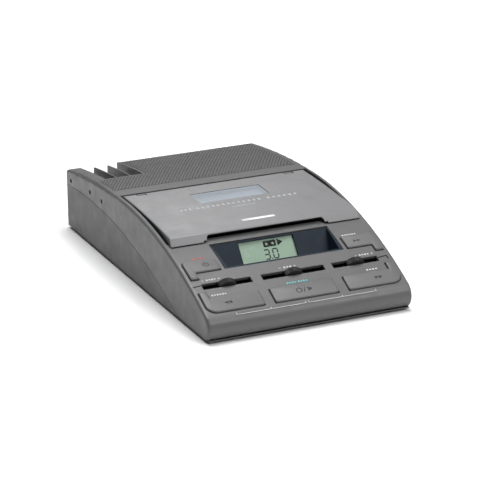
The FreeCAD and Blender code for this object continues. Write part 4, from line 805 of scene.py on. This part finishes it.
def addHoledBlock(mesh, place, x, y, wide, deep, radius, low, high, slot=0):
    # a rectangle with a round hole in it
    count = 24
    outer, inner = [], []
    for k in range(count):
        angle = 2 * math.pi * (k + 0.5) / count
        dx, dy = math.cos(angle), math.sin(angle)
        reach = min(wide / 2 / max(abs(dx), 1e-6), deep / 2 / max(abs(dy), 1e-6))
        outer.append((x + dx * reach, y + dy * reach))
        inner.append((x + dx * radius, y + dy * radius))
    rings = [(outer, low), (outer, high), (inner, high), (inner, low)]
    loops = [[mesh.verts.new(place @ Vector((px, py, z))) for px, py in ring] for ring, z in rings]
    for first in range(4):
        a, b = loops[first], loops[(first + 1) % 4]
        for k in range(count):
            after = (k + 1) % count
            mesh.faces.new((a[k], a[after], b[after], b[k])).material_index = slot


def makeDisplayMarks():
    mesh = bmesh.new()
    low, high = display["depth"] - 0.05, display["depth"] + display["lift"]
    place = displayPlace
    x, y = display["iconAt"]
    wide, deep = display["iconSize"]
    # cassette sign: a block with two reel holes, and a play sign beside it
    for side in (-1, 1):
        addHoledBlock(mesh, place, x + side * wide / 4, y, wide / 2, deep, display["hole"], low, high)
    addArrow(mesh, place, *display["playAt"], 4.0, 1, low, high)
    x, y = display["digitsAt"]
    addDigit(mesh, place, x, y, "abcdg", low, high)
    addDigit(mesh, place, x + display["digitStep"], y, "abcdef", low, high)
    addBar(mesh, place, x + display["digitStep"] / 2, y - display["digitTall"] / 2, 0.75, 0.75, low, high)
    makePiece("displayMarks", mesh, "housing", [inks["crystal"]])


makeDisplayMarks()
print("display made")


# cassette label print, seen through the window
def makeLabelPrint():
    low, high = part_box("cassette_label")
    low, high = low * 1000, high * 1000
    mesh = bmesh.new()
    place = Matrix.Translation((0, (low.y + high.y) / 2, high.z))
    halfX, halfY = (high.x - low.x) / 2, (high.y - low.y) / 2
    for y, wide in ((halfY - 4, 38), (-halfY + 5, 40), (-halfY + 7.5, 30)):
        addBar(mesh, place, 0, y, wide, 1.0, -0.02, 0.04)
    addBar(mesh, place, 0, halfY - 7.4, halfX * 2 - 2, 0.35, -0.02, 0.03, 1)
    addBar(mesh, place, 0, -halfY + 3, halfX * 2 - 2, 0.35, -0.02, 0.03, 1)
    makePiece("labelPrint", mesh, "cassette", [inks["paper"], inks["grey"]])


makeLabelPrint()

# speaker grille: a thin skin with staggered round holes over a dark sheet of painted shade
grille = {"pitch": 2.4, "rowPitch": 2.08, "hole": 0.6, "lift": 0.12,
          "shadeSheetTop": 0.035, "shadeSheetUnder": -0.05,
          "left": -66.6, "right": 66.6, "front": 41.9, "backMargin": 2.6,
          "bayRight": -29.4, "bayFront": 71.2}


def makeGrille():
    pitch, rowPitch, radius = grille["pitch"], grille["rowPitch"], grille["hole"]
    mesh = bmesh.new()
    rows = int((casing["back"] - grille["backMargin"] - grille["front"]) / rowPitch)
    shared = {}

    def corner(x, y):
        key = (round(x, 4), round(y, 4))
        if key not in shared:
            shared[key] = mesh.verts.new(onArch(x, y, grille["lift"]))
        return shared[key]

    columns = int((grille["right"] - grille["left"]) / pitch)
    for row in range(rows):
        low = grille["front"] + row * rowPitch
        high = low + rowPitch
        middleY = (low + high) / 2
        shift = pitch / 2 if row % 2 else 0
        for column in range(columns):
            left = grille["left"] + column * pitch + shift
            right = left + pitch
            if right > grille["left"] + columns * pitch + 0.01:
                continue
            if high > grille["bayFront"] and left < grille["bayRight"]:
                continue
            middleX = (left + right) / 2
            rim = [corner(right, middleY), corner(right, high), corner(middleX, high), corner(left, high),
                   corner(left, middleY), corner(left, low), corner(middleX, low), corner(right, low)]
            angles = [math.radians(45 * k) for k in range(8)]
            top = [mesh.verts.new(onArch(middleX + radius * math.cos(a), middleY + radius * math.sin(a),
                                         grille["lift"])) for a in angles]
            for k in range(8):
                after = (k + 1) % 8
                mesh.faces.new((rim[k], rim[after], top[after], top[k]))
    # gives the skin its thickness, down to just over the casing
    solid = bmesh.ops.extrude_face_region(mesh, geom=mesh.faces[:])
    sunk = {item for item in solid["geom"] if isinstance(item, bmesh.types.BMVert)}
    for vert in sunk:
        vert.co.z -= grille["lift"] - 0.02
    bmesh.ops.recalc_face_normals(mesh, faces=mesh.faces)
    makePiece("grilleSkin", mesh, "housing", [finishes["housing_grey"]])
    # a dark sheet of painted shade seen through the holes, in two stretches: in front of the connector bay,
    # and beside it
    mesh = bmesh.new()
    under, top = grille["shadeSheetUnder"], grille["shadeSheetTop"]
    bayEdge = grille["bayFront"] - 1.4
    rightEnd = grille["left"] + columns * pitch - 1.3
    for left, front, back in ((grille["left"] + 1.3, grille["front"] + 0.3, bayEdge),
                              (grille["bayRight"] + 1.4, bayEdge, grille["front"] + rows * rowPitch - 0.3)):
        rings = []
        for k in range(25):
            y = front + (back - front) * k / 24
            rings.append([onArch(left, y, under), onArch(rightEnd, y, under),
                          onArch(rightEnd, y, top), onArch(left, y, top)])
        skin(mesh, rings)
    bmesh.ops.recalc_face_normals(mesh, faces=mesh.faces)
    makePiece("grilleShadeSheet", mesh, "housing", [inks["void"]])


makeGrille()
print("grille made")

# stage: pale floor, soft studio light, camera
studio = {"floorHalf": 9, "floor": (0.93, 0.93, 0.93), "world": (1.0, 1.0, 1.0), "worldStrength": 0.12}
cameraView = {"azimuth": -24.0, "elevation": 19.79, "roll": -0.59,
              "place": (-0.64331, -1.47313, 0.59016), "lens": 186.77}
lamps = [
    {"name": "overheadSoftbox", "at": (0.0, 0.2, 1.5), "aim": (0, 0, 0),
     "size": (0.9, 0.9), "watts": 24},
    {"name": "backSoftbox", "at": (0.36, 1.25, 0.86), "aim": (0, 0.02, 0.04),
     "size": (0.5, 0.4), "watts": 2.0},
    {"name": "panelSoftbox", "at": (0.35, 0.6, 1.24), "aim": (0, -0.08, 0.03),
     "size": (0.3, 0.3), "watts": 1.4},
    {"name": "noseSoftbox", "at": (0.55, -0.5, 1.2), "aim": (0, -0.12, 0.03),
     "size": (0.5, 0.18), "watts": 3},
    {"name": "frontSoftbox", "at": (0.6, -1.1, 0.95), "aim": (0, -0.1, 0.03),
     "size": (1.2, 0.15), "watts": 9},
]


def makeStage():
    mesh = bmesh.new()
    bmesh.ops.create_grid(mesh, x_segments=4, y_segments=4, size=studio["floorHalf"])
    floor = makeObject("studioFloor", mesh)
    paper = bpy.data.materials.new("studioPaper")
    paper.use_nodes = True
    shader = paper.node_tree.nodes["Principled BSDF"]
    shader.inputs["Base Color"].default_value = (*studio["floor"], 1)
    shader.inputs["Roughness"].default_value = 0.9
    shader.inputs["Specular IOR Level"].default_value = 0.1
    floor.data.materials.append(paper)
    world = bpy.data.worlds.new("studioWorld")
    world.use_nodes = True
    background = world.node_tree.nodes["Background"]
    background.inputs["Color"].default_value = (*studio["world"], 1)
    background.inputs["Strength"].default_value = studio["worldStrength"]
    bpy.context.scene.world = world
    for lamp in lamps:
        light = bpy.data.lights.new(lamp["name"], "AREA")
        light.shape = "RECTANGLE"
        light.size, light.size_y = lamp["size"]
        light.energy = lamp["watts"]
        holder = bpy.data.objects.new(lamp["name"], light)
        holder.location = lamp["at"]
        towards = Vector(lamp["aim"]) - Vector(lamp["at"])
        holder.rotation_euler = towards.to_track_quat("-Z", "Y").to_euler()
        bpy.context.scene.collection.objects.link(holder)


def makeCamera():
    azimuth, elevation, roll = (math.radians(cameraView[k]) for k in ("azimuth", "elevation", "roll"))
    level = math.cos(elevation)
    backwards = Vector((math.sin(azimuth) * level, -math.cos(azimuth) * level, math.sin(elevation)))
    right = (-backwards).cross(Vector((0, 0, 1))).normalized()
    up = right.cross(-backwards)
    rightRolled = right * math.cos(roll) + up * math.sin(roll)
    upRolled = up * math.cos(roll) - right * math.sin(roll)
    turn = Matrix((rightRolled, upRolled, backwards)).transposed().to_4x4()
    camera = bpy.data.cameras.new("studioCamera")
    camera.lens = cameraView["lens"]
    camera.sensor_width = 36
    camera.clip_start = 0.05
    holder = bpy.data.objects.new("studioCamera", camera)
    holder.matrix_world = Matrix.Translation(cameraView["place"]) @ turn
    bpy.context.scene.collection.objects.link(holder)
    bpy.context.scene.camera = holder


makeStage()
makeCamera()
bpy.context.scene.view_settings.view_transform = "Standard"
print("stage set")
